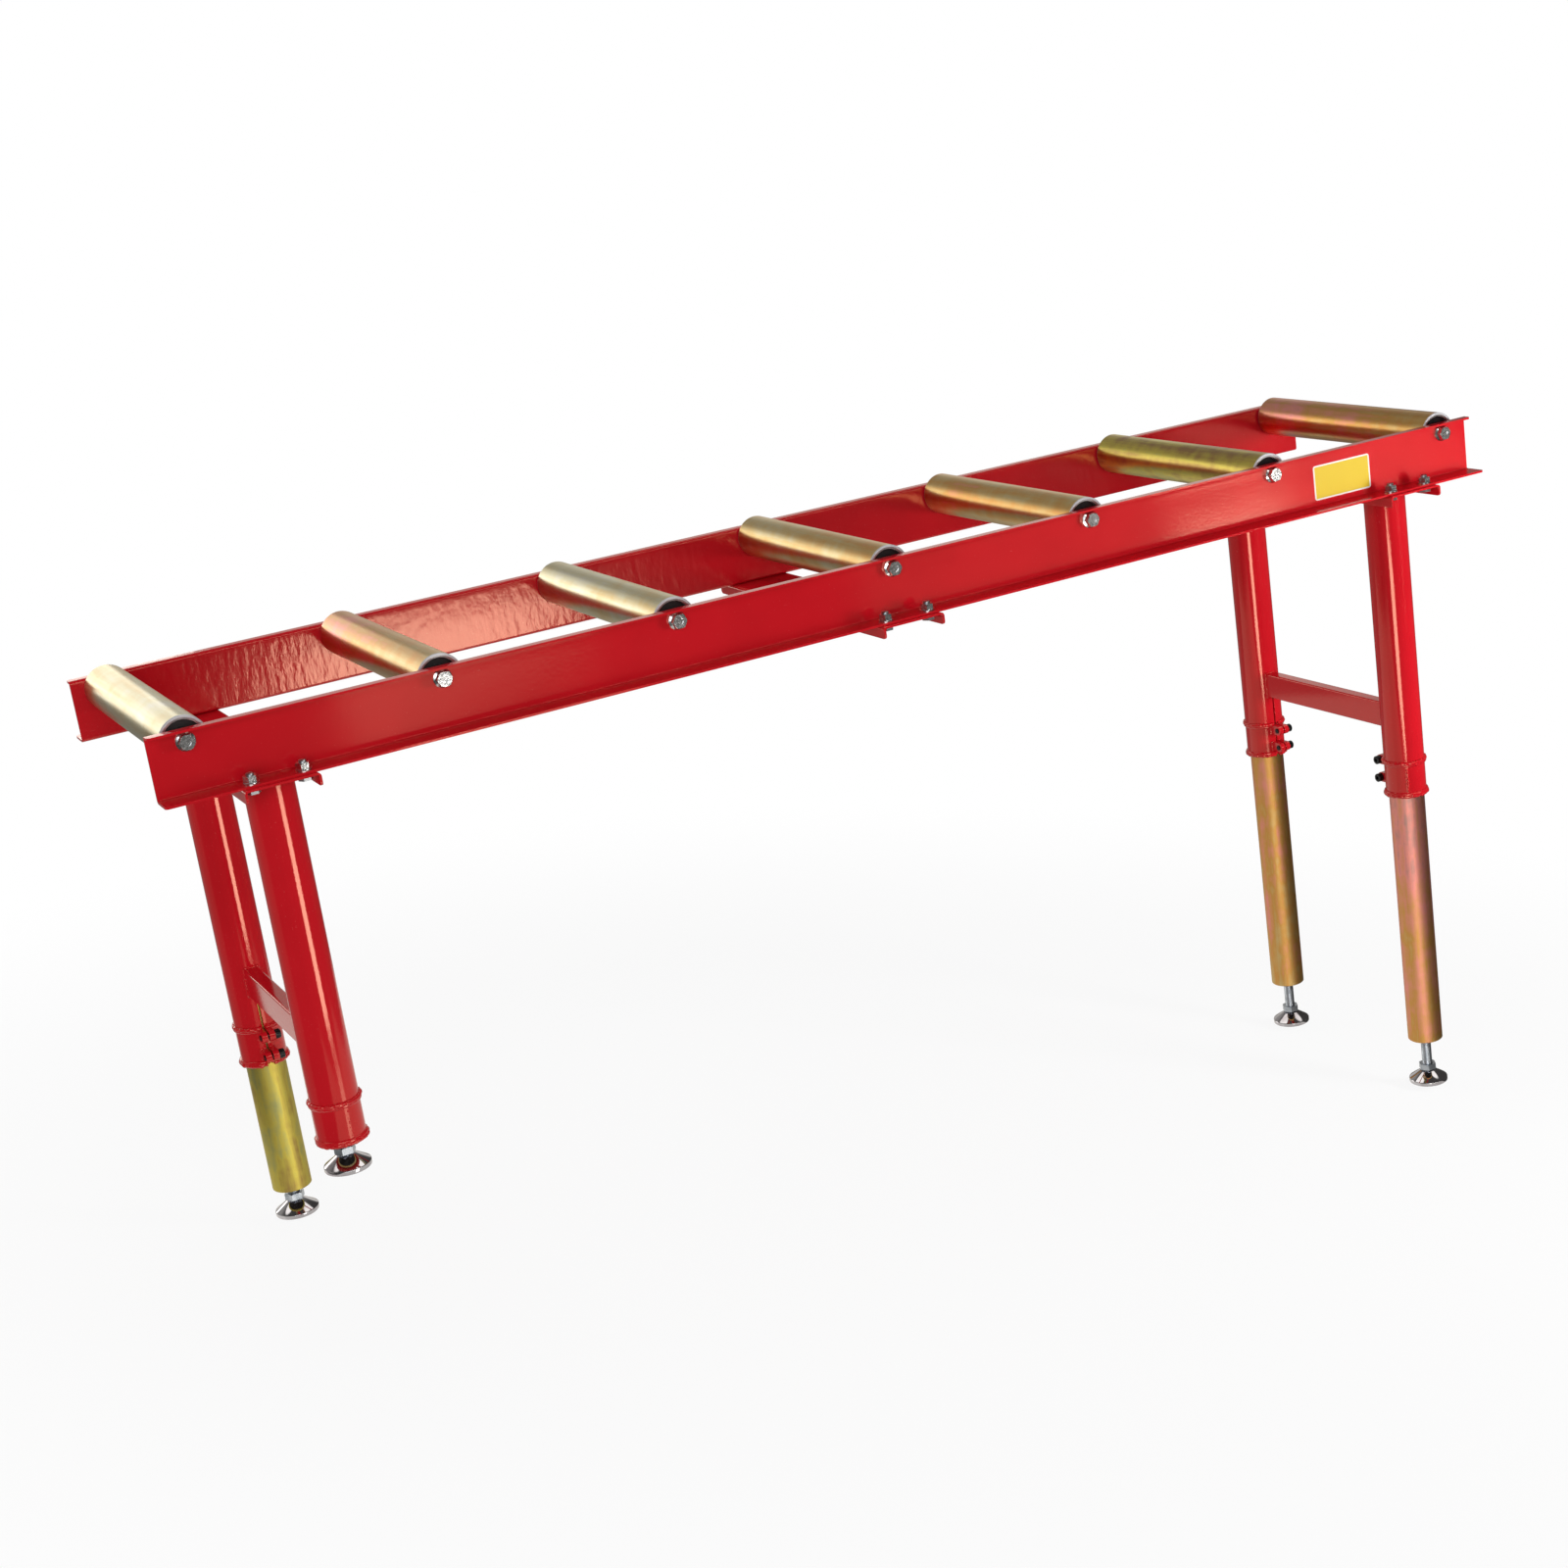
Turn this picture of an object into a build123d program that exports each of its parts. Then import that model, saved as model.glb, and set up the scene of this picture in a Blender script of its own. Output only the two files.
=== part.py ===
from build123d import *
import math
import os

# A height-adjustable roller conveyor: two bent sheet rails carry seven rollers on bolted axles.
# Three bent channels tie the rails together, and the outer two are the heads of the leg frames.
# Each leg is a tube with a slit clamp sleeve at its foot, in which an inner tube slides.
# Millimetres. X runs along the bed from left to right, Y from the near rail to the far rail, Z up.
# The origin lies midway between the rails and their ends, level with the lowest foot.

# Bed
BED_LENGTH = 2000.0
RAIL_HEIGHT = 82.0
RAIL_SHEET = 3.0
RAIL_FLANGE_WIDTH = 40.0
RAIL_LIP_WIDTH = 18.0
RAIL_BEND_RADIUS = 1.5
RAIL_CORNER_RADIUS = 5.0

# Rollers
ROLLER_COUNT = 7
ROLLER_DIAMETER = 60.0
ROLLER_WALL = 3.0
ROLLER_LENGTH = 400.0
ROLLER_END_GAP = 4.0
ROLLER_END_CHAMFER = 1.0
ROLLER_INSET = 46.0

# Roller bearings, the black cups pressed into each end of a roller
BEARING_RECESS = 1.2
BEARING_WIDTH = 14.0
BEARING_RIM = 2.5
BEARING_DISH = 5.0
BEARING_HUB_DIAMETER = 30.0

# Roller axles and the flanged bolts that hold them between the rails
AXLE_DIAMETER = 17.0
AXLE_TAP_SPARE = 5.0
ROLLER_BOLT_DIAMETER = 12.0
ROLLER_BOLT_LENGTH = 28.0
ROLLER_BOLT_FLANGE_DIAMETER = 24.0
ROLLER_BOLT_FLANGE_THICKNESS = 1.6
ROLLER_BOLT_SKIRT_HEIGHT = 1.6
ROLLER_BOLT_ACROSS_FLATS = 18.0
ROLLER_BOLT_HEAD_HEIGHT = 10.5
ROLLER_BOLT_DIMPLE_DIAMETER = 9.0
ROLLER_BOLT_DIMPLE_DEPTH = 1.0

# Cross channels, open downwards
CHANNEL_WIDTH = 93.0
CHANNEL_HEIGHT = 17.0
CHANNEL_SHEET = 3.0
CHANNEL_OVERHANG = 6.0
CHANNEL_BEND_RADIUS = 2.0
CHANNEL_CORNER_RADIUS = 5.0

# Bolts, washers and nuts that hold the channels to the rails
FRAME_BOLT_DIAMETER = 10.0
FRAME_BOLT_ACROSS_FLATS = 16.0
FRAME_BOLT_HEAD_HEIGHT = 6.4
FRAME_BOLT_POINT = 3.0
FRAME_NUT_HEIGHT = 8.0
FRAME_NUT_CHAMFER = 0.8
FRAME_WASHER_DIAMETER = 20.0
FRAME_WASHER_THICKNESS = 2.0
FRAME_BOLT_FROM_CHANNEL_SIDE = 14.5
FRAME_BOLT_FROM_WEB = 24.0

# Leg frames
LEG_INSET = 137.5
LEG_FROM_CHANNEL_END = 74.0
LEG_WALL = 3.5
LEG_LENGTH = 425.5
CROSSBAR_WIDTH = 20.0
CROSSBAR_HEIGHT = 40.0
CROSSBAR_WALL = 2.0
CROSSBAR_CORNER_RADIUS = 2.5
CROSSBAR_ABOVE_SLEEVE = 47.5

# Clamp sleeves at the foot of the legs, with their weld rings, lugs and screws
SLEEVE_LENGTH = 52.5
SLIT_WIDTH = 2.5
RING_RADIUS = 3.0
RING_STAND = 2.6
LUG_THICKNESS = 8.0
LUG_HEIGHT = 15.0
LUG_REACH = 16.0
LUG_INSET = 8.0
LUG_TOP_INSET = 0.5
CLAMP_SCREW_DIAMETER = 8.0
CLAMP_SCREW_HEAD_DIAMETER = 13.0
CLAMP_SCREW_HEAD_HEIGHT = 8.0
CLAMP_SCREW_SOCKET = 6.0
CLAMP_SCREW_SOCKET_DEPTH = 4.0
CLAMP_SCREW_POINT = 1.5
CLAMP_SCREW_CHAMFER = 0.8

# Inner tubes that slide in the legs, and the threaded plug in the lower end of each
STEM_DIAMETER = 54.0
STEM_WALL = 3.0
STEM_TOP_GAP = 6.0
STEM_END_GAP = 2.0
STEM_CHAMFER = 0.8
PLUG_THICKNESS = 12.0
PLUG_RECESS = 1.0

# Levelling feet: a threaded spindle with a fixed hexagon and a ball that stands in a conical foot
SPINDLE_DIAMETER = 16.0
SPINDLE_LENGTH = 105.0
SPINDLE_CHAMFER = 1.5
SPINDLE_NECK_DIAMETER = 10.0
SPINDLE_BALL_DIAMETER = 18.0
FOOT_NUT_ACROSS_FLATS = 24.0
FOOT_NUT_HEIGHT = 9.0
FOOT_NUT_GAP = 2.5
FOOT_DIAMETER = 60.0
FOOT_RIM_HEIGHT = 6.0
FOOT_HEIGHT = 18.0
FOOT_TOP_DIAMETER = 24.0
FOOT_BALL_HEIGHT = 12.0
FOOT_EDGE_RADIUS = 1.0

# How far each inner tube and each spindle is drawn out in the photographed setting
STEM_DRAWN = {"near_left": 0.0, "far_left": 191.0, "near_right": 413.0, "far_right": 413.0}
SPINDLE_DRAWN = {"near_left": 10.5, "far_left": 10.5, "near_right": 44.5, "far_right": 44.5}

# Label on the near rail, left bare
LABEL_WIDTH = 104.0
LABEL_HEIGHT = 51.0
LABEL_THICKNESS = 0.4
LABEL_CORNER_RADIUS = 4.0
LABEL_FROM_END = 238.0
LABEL_CENTRE_HEIGHT = 36.5

HEXAGON_SIDES = 6

# Fits: radial play between pieces that run, slide or pass through each other
LEG_PLAY = 0.5
SLEEVE_PLAY = 0.3
RUNNING_PLAY = 0.05
SEATED_PLAY = 0.03
BALL_PLAY = 0.15
HOLE_PLAY = 0.3
CUT_OVERRUN = 5.0

# Places worked out from the sizes above
RAIL_GAP = ROLLER_LENGTH + 2 * ROLLER_END_GAP
WEB_INNER = RAIL_GAP / 2
WEB_OUTER = WEB_INNER + RAIL_SHEET
CHANNEL_LENGTH = 2 * (WEB_INNER + RAIL_FLANGE_WIDTH + CHANNEL_OVERHANG)
ROLLER_AXIS_HEIGHT = RAIL_HEIGHT - RAIL_SHEET - RAIL_BEND_RADIUS - ROLLER_BOLT_FLANGE_DIAMETER / 2
AXLE_TAP_DEPTH = ROLLER_BOLT_LENGTH - RAIL_SHEET + AXLE_TAP_SPARE
LEG_DIAMETER = STEM_DIAMETER + 2 * (LEG_PLAY + LEG_WALL)
SLEEVE_BORE = STEM_DIAMETER + 2 * SLEEVE_PLAY
LUG_SPACING = SLEEVE_LENGTH - LUG_INSET - LUG_HEIGHT - LUG_TOP_INSET
STEM_LENGTH = LEG_LENGTH + SLEEVE_LENGTH + STEM_END_GAP - STEM_TOP_GAP
STEM_END_DROP = CHANNEL_SHEET + STEM_TOP_GAP + STEM_LENGTH
FOOT_STACK = FOOT_HEIGHT + FOOT_NUT_GAP + FOOT_NUT_HEIGHT
RAIL_BASE = max(STEM_END_DROP + STEM_DRAWN[leg] + SPINDLE_DRAWN[leg] + FOOT_STACK for leg in STEM_DRAWN)
ROLLER_AXIS_Z = RAIL_BASE + ROLLER_AXIS_HEIGHT
LEG_TOP = RAIL_BASE - CHANNEL_SHEET
SLEEVE_TOP = LEG_TOP - LEG_LENGTH
SLEEVE_BOTTOM = SLEEVE_TOP - SLEEVE_LENGTH
CROSSBAR_BOTTOM = SLEEVE_TOP + CROSSBAR_ABOVE_SLEEVE
LEG_X = BED_LENGTH / 2 - LEG_INSET
LEG_Y = CHANNEL_LENGTH / 2 - LEG_FROM_CHANNEL_END
FRAME_BOLT_Y = WEB_OUTER + FRAME_BOLT_FROM_WEB
FRAME_BOLT_STEP = CHANNEL_WIDTH / 2 - FRAME_BOLT_FROM_CHANNEL_SIDE
CHANNEL_X = {"left_channel": -LEG_X, "middle_channel": 0.0, "right_channel": LEG_X}
LEG_PLACES = {
    "near_left": (-LEG_X, -LEG_Y),
    "far_left": (-LEG_X, LEG_Y),
    "near_right": (LEG_X, -LEG_Y),
    "far_right": (LEG_X, LEG_Y),
}
ROLLER_PITCH = (BED_LENGTH - 2 * ROLLER_INSET) / (ROLLER_COUNT - 1)
ROLLER_PLACES = [ROLLER_INSET - BED_LENGTH / 2 + i * ROLLER_PITCH for i in range(ROLLER_COUNT)]


def rod(diameter, height):
    """A solid round bar standing on the plane Z = 0."""
    return Cylinder(diameter / 2, height, align=(Align.CENTER, Align.CENTER, Align.MIN))


def pipe(diameter, bore, height):
    """A round tube standing on the plane Z = 0."""
    return rod(diameter, height) - rod(bore, height)


def hexagon(across_flats, height, turned=0.0):
    """A hexagonal prism standing on Z = 0, its upper corners turned off by the size that is given."""
    across_corners = across_flats / math.cos(math.pi / HEXAGON_SIDES)
    prism = extrude(RegularPolygon(across_corners / 2, HEXAGON_SIDES), height)
    if turned > 0:
        prism = prism & chamfer_top(rod(across_corners, height), turned)
    return prism


def chamfer_top(piece, size):
    """The same piece with the edges of its highest face chamfered."""
    return chamfer(piece.faces().sort_by(Axis.Z)[-1].edges(), size)


def chamfer_ends(piece, size):
    """The same standing piece with the outer edges of both ends chamfered."""
    ends = piece.edges().filter_by(GeomType.CIRCLE).sort_by(SortBy.RADIUS)
    return chamfer(ends[-2:], size)


def along_y(piece):
    """A piece drawn standing along +Z, laid over so that its +Z points along -Y."""
    return Rot(X=90) * piece


def along_x(piece):
    """A piece drawn standing along +Z, laid over so that its +Z points along +X."""
    return Rot(Y=90) * piece


def rail(name):
    """A rail bent from sheet: a web with a narrow lip above and a wide flange below, open outwards."""
    top = RAIL_HEIGHT
    points = [
        (WEB_INNER, 0),
        (WEB_INNER + RAIL_FLANGE_WIDTH, 0),
        (WEB_INNER + RAIL_FLANGE_WIDTH, RAIL_SHEET),
        (WEB_OUTER, RAIL_SHEET),
        (WEB_OUTER, top - RAIL_SHEET),
        (WEB_INNER + RAIL_LIP_WIDTH, top - RAIL_SHEET),
        (WEB_INNER + RAIL_LIP_WIDTH, top),
        (WEB_INNER, top),
    ]
    face = make_face(Polyline(*points, close=True))
    inner = [v for v in face.vertices() if abs(v.X - WEB_OUTER) < RAIL_SHEET / 2]
    face = fillet(inner, RAIL_BEND_RADIUS)
    outer = [v for v in face.vertices() if abs(v.X - WEB_INNER) < RAIL_SHEET / 2]
    face = fillet(outer, RAIL_BEND_RADIUS + RAIL_SHEET)
    profile = Plane.YZ * face
    body = Pos(X=-BED_LENGTH / 2) * extrude(profile, BED_LENGTH, dir=(1, 0, 0))
    tips = [
        e
        for e in body.edges().filter_by(Axis.Z)
        if e.center().Y > WEB_OUTER + RAIL_BEND_RADIUS
    ]
    body = fillet(tips, RAIL_CORNER_RADIUS)
    body = body - rail_holes()
    if name == "near_rail":
        body = mirror(body, Plane.XZ)
    return Pos(Z=RAIL_BASE) * body


def rail_holes():
    """Drills for the far rail, seen from its own base: axle bolts in the web, frame bolts below."""
    reach = RAIL_SHEET + 2 * CUT_OVERRUN
    bolt_hole = along_y(rod(ROLLER_BOLT_DIAMETER + 2 * HOLE_PLAY, reach))
    holes = [Pos(x, WEB_OUTER + CUT_OVERRUN, ROLLER_AXIS_HEIGHT) * bolt_hole for x in ROLLER_PLACES]
    frame_hole = rod(FRAME_BOLT_DIAMETER + 2 * HOLE_PLAY, reach)
    for x in CHANNEL_X.values():
        for step in (-FRAME_BOLT_STEP, FRAME_BOLT_STEP):
            holes.append(Pos(x + step, FRAME_BOLT_Y, -CUT_OVERRUN) * frame_hole)
    return holes


def roller_tube(x):
    """One plated roller tube, its ends turned square with a small chamfer."""
    bore = ROLLER_DIAMETER - 2 * ROLLER_WALL
    tube = chamfer_ends(pipe(ROLLER_DIAMETER, bore, ROLLER_LENGTH), ROLLER_END_CHAMFER)
    return Pos(x, ROLLER_LENGTH / 2, ROLLER_AXIS_Z) * along_y(tube)


def bearing_cup():
    """A bearing cup standing with its outer, dished face up, bored to run on the axle."""
    cup_diameter = ROLLER_DIAMETER - 2 * ROLLER_WALL - 2 * SEATED_PLAY
    body = rod(cup_diameter, BEARING_WIDTH)
    dish = Pos(Z=BEARING_WIDTH - BEARING_DISH) * pipe(
        cup_diameter - 2 * BEARING_RIM, BEARING_HUB_DIAMETER, BEARING_DISH
    )
    return body - dish - rod(AXLE_DIAMETER + 2 * RUNNING_PLAY, BEARING_WIDTH)


def roller_bearings(x):
    """The two bearing cups of one roller, a little way inside the tube's ends."""
    seat = ROLLER_LENGTH / 2 - BEARING_RECESS - BEARING_WIDTH
    near = Pos(x, -seat, ROLLER_AXIS_Z) * along_y(bearing_cup())
    far = Pos(x, seat, ROLLER_AXIS_Z) * Rot(X=-90) * bearing_cup()
    return [near, far]


def roller_axles():
    """Fixed axles, one for each roller, tapped at both ends and held between the rail webs."""
    tap = rod(ROLLER_BOLT_DIAMETER, AXLE_TAP_DEPTH)
    axle = rod(AXLE_DIAMETER, RAIL_GAP) - tap - Pos(Z=RAIL_GAP - AXLE_TAP_DEPTH) * tap
    return [Pos(x, RAIL_GAP / 2, ROLLER_AXIS_Z) * along_y(axle) for x in ROLLER_PLACES]


def roller_bolt():
    """A flanged hexagon bolt standing head up, with the flange's seat on Z = 0."""
    flange = rod(ROLLER_BOLT_FLANGE_DIAMETER, ROLLER_BOLT_FLANGE_THICKNESS)
    skirt = Pos(Z=ROLLER_BOLT_FLANGE_THICKNESS) * Cone(
        ROLLER_BOLT_FLANGE_DIAMETER / 2,
        ROLLER_BOLT_ACROSS_FLATS / 2,
        ROLLER_BOLT_SKIRT_HEIGHT,
        align=(Align.CENTER, Align.CENTER, Align.MIN),
    )
    head = hexagon(ROLLER_BOLT_ACROSS_FLATS, ROLLER_BOLT_HEAD_HEIGHT, FRAME_NUT_CHAMFER)
    dimple = Pos(Z=ROLLER_BOLT_HEAD_HEIGHT - ROLLER_BOLT_DIMPLE_DEPTH) * rod(
        ROLLER_BOLT_DIMPLE_DIAMETER, ROLLER_BOLT_DIMPLE_DEPTH
    )
    shank_diameter = ROLLER_BOLT_DIAMETER - 2 * SEATED_PLAY
    shank = Pos(Z=-ROLLER_BOLT_LENGTH) * rod(shank_diameter, ROLLER_BOLT_LENGTH)
    return flange + skirt + head - dimple + shank


def roller_bolts():
    """Bolts through both webs into the ends of every axle."""
    bolts = []
    for x in ROLLER_PLACES:
        bolts.append(Pos(x, -WEB_OUTER, ROLLER_AXIS_Z) * along_y(roller_bolt()))
        bolts.append(Pos(x, WEB_OUTER, ROLLER_AXIS_Z) * Rot(X=-90) * roller_bolt())
    return bolts


def channel(x):
    """A cross channel bent from sheet, open downwards, bolted under both rails."""
    half = CHANNEL_WIDTH / 2
    points = [
        (-half, -CHANNEL_HEIGHT),
        (-half, 0),
        (half, 0),
        (half, -CHANNEL_HEIGHT),
        (half - CHANNEL_SHEET, -CHANNEL_HEIGHT),
        (half - CHANNEL_SHEET, -CHANNEL_SHEET),
        (CHANNEL_SHEET - half, -CHANNEL_SHEET),
        (CHANNEL_SHEET - half, -CHANNEL_HEIGHT),
    ]
    face = make_face(Polyline(*points, close=True))
    inner = [v for v in face.vertices() if abs(v.Y + CHANNEL_SHEET) < CHANNEL_SHEET / 2]
    face = fillet(inner, CHANNEL_BEND_RADIUS)
    outer = [v for v in face.vertices() if abs(v.Y) < CHANNEL_SHEET / 2]
    face = fillet(outer, CHANNEL_BEND_RADIUS + CHANNEL_SHEET)
    body = Pos(Y=CHANNEL_LENGTH / 2) * extrude(Plane.XZ * face, CHANNEL_LENGTH)
    low_corners = [
        e
        for e in body.edges().filter_by(Axis.X)
        if e.center().Z < -CHANNEL_HEIGHT + CHANNEL_SHEET / 2
    ]
    body = fillet(low_corners, CHANNEL_CORNER_RADIUS)
    hole = rod(FRAME_BOLT_DIAMETER + 2 * HOLE_PLAY, CHANNEL_SHEET + 2 * CUT_OVERRUN)
    for step in (-FRAME_BOLT_STEP, FRAME_BOLT_STEP):
        for y in (-FRAME_BOLT_Y, FRAME_BOLT_Y):
            body = body - Pos(step, y, -CHANNEL_SHEET - CUT_OVERRUN) * hole
    return Pos(x, 0, RAIL_BASE) * body


def frame_bolt_places():
    """Where the bolts pass through the channels and the rail flanges."""
    places = []
    for x in CHANNEL_X.values():
        for step in (-FRAME_BOLT_STEP, FRAME_BOLT_STEP):
            places.append((x + step, -FRAME_BOLT_Y))
            places.append((x + step, FRAME_BOLT_Y))
    return places


def frame_bolt():
    """A hexagon bolt standing point up, its head's seat on Z = 0."""
    grip = CHANNEL_SHEET + RAIL_SHEET + FRAME_WASHER_THICKNESS + FRAME_NUT_HEIGHT + FRAME_BOLT_POINT
    head = Pos(Z=-FRAME_BOLT_HEAD_HEIGHT) * hexagon(FRAME_BOLT_ACROSS_FLATS, FRAME_BOLT_HEAD_HEIGHT)
    shank = chamfer_top(rod(FRAME_BOLT_DIAMETER - 2 * SEATED_PLAY, grip), FRAME_NUT_CHAMFER)
    return head + shank


def frame_bolts():
    """Bolts up through the channels and flanges."""
    return [Pos(x, y, RAIL_BASE - CHANNEL_SHEET) * frame_bolt() for x, y in frame_bolt_places()]


def frame_washers():
    """Washers on the rail flanges, one under each nut."""
    bore = FRAME_BOLT_DIAMETER + 2 * HOLE_PLAY
    washer = pipe(FRAME_WASHER_DIAMETER, bore, FRAME_WASHER_THICKNESS)
    return [Pos(x, y, RAIL_BASE + RAIL_SHEET) * washer for x, y in frame_bolt_places()]


def frame_nuts():
    """Nuts on the washers."""
    nut = hexagon(FRAME_BOLT_ACROSS_FLATS, FRAME_NUT_HEIGHT, FRAME_NUT_CHAMFER)
    nut = nut - rod(FRAME_BOLT_DIAMETER, FRAME_NUT_HEIGHT)
    seat = RAIL_BASE + RAIL_SHEET + FRAME_WASHER_THICKNESS
    return [Pos(x, y, seat) * nut for x, y in frame_bolt_places()]


def inward(leg):
    """-1 for a far leg and 1 for a near leg: the way to the middle of the frame along Y."""
    return -1 if LEG_PLACES[leg][1] > 0 else 1


def slit(leg, bottom, top):
    """The saw cut in the inner side of a leg, from one height to another."""
    cut = Box(SLIT_WIDTH, LEG_DIAMETER, top - bottom, align=(Align.CENTER, Align.MIN, Align.MIN))
    if inward(leg) < 0:
        cut = mirror(cut, Plane.XZ)
    x, y = LEG_PLACES[leg]
    return Pos(x, y, bottom) * cut


def leg_tube(leg):
    """The fixed outer tube of a leg, slit from the crossbar down so that it can close."""
    x, y = LEG_PLACES[leg]
    tube = Pos(x, y, SLEEVE_TOP) * pipe(LEG_DIAMETER, LEG_DIAMETER - 2 * LEG_WALL, LEG_LENGTH)
    return tube - slit(leg, SLEEVE_TOP - CUT_OVERRUN, CROSSBAR_BOTTOM)


def sleeve_blank(leg):
    """A clamp sleeve before it is slit: a short tube with a weld ring at its top and bottom."""
    x, y = LEG_PLACES[leg]
    tube = rod(LEG_DIAMETER, SLEEVE_LENGTH)
    centre_radius = LEG_DIAMETER / 2 + RING_STAND - RING_RADIUS
    ring = Torus(centre_radius, RING_RADIUS)
    body = tube + Pos(Z=RING_RADIUS) * ring + Pos(Z=SLEEVE_LENGTH - RING_RADIUS) * ring
    body = body - rod(SLEEVE_BORE, SLEEVE_LENGTH)
    return Pos(x, y, SLEEVE_BOTTOM) * body


def clamp_sleeve(leg):
    """The clamp sleeve, slit in line with the leg."""
    return sleeve_blank(leg) - slit(leg, SLEEVE_BOTTOM - CUT_OVERRUN, SLEEVE_TOP + CUT_OVERRUN)


def screw_heights():
    """Heights of the two clamp screws of a leg."""
    low = SLEEVE_BOTTOM + LUG_INSET + LUG_HEIGHT / 2
    return [low, low + LUG_SPACING]


def screw_line(leg):
    """Y of a leg's clamp screws."""
    return LEG_PLACES[leg][1] + inward(leg) * (LEG_DIAMETER / 2 + LUG_REACH)


def clamp_lugs():
    """Pairs of round-ended lugs welded on each side of every slit, bored for the clamp screws."""
    lugs = []
    for leg in LEG_PLACES:
        x, y = LEG_PLACES[leg]
        blank = sleeve_blank(leg)
        hollow = Pos(x, y, SLEEVE_BOTTOM) * rod(LEG_DIAMETER, SLEEVE_LENGTH)
        for z in screw_heights():
            for side in (-1, 1):
                base = x + side * (SLIT_WIDTH + LUG_THICKNESS) / 2
                depth = abs(screw_line(leg) - y)
                plate = Box(LUG_THICKNESS, depth, LUG_HEIGHT)
                plate = Pos(base, y + inward(leg) * depth / 2, z) * plate
                nose = along_x(rod(LUG_HEIGHT, LUG_THICKNESS))
                nose = Pos(base - LUG_THICKNESS / 2, screw_line(leg), z) * nose
                hole = along_x(rod(CLAMP_SCREW_DIAMETER + 2 * HOLE_PLAY, LUG_THICKNESS))
                hole = Pos(base - LUG_THICKNESS / 2, screw_line(leg), z) * hole
                lugs.append(plate + nose - hole - hollow - blank)
    return lugs


def clamp_screw():
    """A black socket-head screw standing head up, its seat on Z = 0."""
    head = chamfer_top(rod(CLAMP_SCREW_HEAD_DIAMETER, CLAMP_SCREW_HEAD_HEIGHT), CLAMP_SCREW_CHAMFER)
    socket = Pos(Z=CLAMP_SCREW_HEAD_HEIGHT - CLAMP_SCREW_SOCKET_DEPTH) * hexagon(
        CLAMP_SCREW_SOCKET, CLAMP_SCREW_SOCKET_DEPTH
    )
    length = 2 * LUG_THICKNESS + SLIT_WIDTH + CLAMP_SCREW_POINT
    shank = Pos(Z=-length) * rod(CLAMP_SCREW_DIAMETER, length)
    return head - socket + shank


def clamp_screws():
    """The clamp screws, their heads to the right on the far legs and to the left on the near legs."""
    screws = []
    for leg in LEG_PLACES:
        seat = SLIT_WIDTH / 2 + LUG_THICKNESS
        way = -inward(leg)
        for z in screw_heights():
            place = Pos(LEG_PLACES[leg][0] + way * seat, screw_line(leg), z)
            screws.append(place * Rot(Y=way * 90) * clamp_screw())
    return screws


def crossbar(x):
    """A rectangular tube between the two legs of a frame, its ends coped to the leg tubes."""
    outer = RectangleRounded(CROSSBAR_WIDTH, CROSSBAR_HEIGHT, CROSSBAR_CORNER_RADIUS)
    inner = Rectangle(CROSSBAR_WIDTH - 2 * CROSSBAR_WALL, CROSSBAR_HEIGHT - 2 * CROSSBAR_WALL)
    bar = extrude(Plane.XZ * (outer - inner), 2 * LEG_Y)
    bar = Pos(x, LEG_Y, CROSSBAR_BOTTOM + CROSSBAR_HEIGHT / 2) * bar
    for y in (-LEG_Y, LEG_Y):
        bar = bar - Pos(x, y, CROSSBAR_BOTTOM - CUT_OVERRUN) * rod(
            LEG_DIAMETER, CROSSBAR_HEIGHT + 2 * CUT_OVERRUN
        )
    return bar


def stem_bottom(leg):
    """Height of the lower end of an inner tube in its photographed setting."""
    return RAIL_BASE - STEM_END_DROP - STEM_DRAWN[leg]


def stem(leg):
    """The plated inner tube of a leg."""
    x, y = LEG_PLACES[leg]
    tube = chamfer_ends(pipe(STEM_DIAMETER, STEM_DIAMETER - 2 * STEM_WALL, STEM_LENGTH), STEM_CHAMFER)
    return Pos(x, y, stem_bottom(leg)) * tube


def stem_plug(leg):
    """The threaded plug welded into the lower end of an inner tube."""
    x, y = LEG_PLACES[leg]
    diameter = STEM_DIAMETER - 2 * STEM_WALL - 2 * SEATED_PLAY
    plug = pipe(diameter, SPINDLE_DIAMETER + 2 * RUNNING_PLAY, PLUG_THICKNESS)
    return Pos(x, y, stem_bottom(leg) + PLUG_RECESS) * plug


def foot_base(leg):
    """Height of the underside of a foot in its photographed setting."""
    return stem_bottom(leg) - SPINDLE_DRAWN[leg] - FOOT_STACK


def spindle(leg):
    """The spindle: a threaded bar above the hexagon, a neck below it and a ball at the end."""
    x, y = LEG_PLACES[leg]
    neck_length = FOOT_HEIGHT + FOOT_NUT_GAP - FOOT_BALL_HEIGHT
    ball = Pos(Z=FOOT_BALL_HEIGHT) * Sphere(SPINDLE_BALL_DIAMETER / 2)
    neck = Pos(Z=FOOT_BALL_HEIGHT) * rod(SPINDLE_NECK_DIAMETER, neck_length)
    bar = chamfer_top(rod(SPINDLE_DIAMETER, SPINDLE_LENGTH), SPINDLE_CHAMFER)
    bar = Pos(Z=FOOT_HEIGHT + FOOT_NUT_GAP) * bar
    return Pos(x, y, foot_base(leg)) * (ball + neck + bar)


def foot_nut(leg):
    """The hexagon by which the spindle is turned."""
    x, y = LEG_PLACES[leg]
    nut = hexagon(FOOT_NUT_ACROSS_FLATS, FOOT_NUT_HEIGHT, FRAME_NUT_CHAMFER)
    nut = nut - rod(SPINDLE_DIAMETER + 2 * SEATED_PLAY, FOOT_NUT_HEIGHT)
    return Pos(x, y, foot_base(leg) + FOOT_HEIGHT + FOOT_NUT_GAP) * nut


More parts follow.
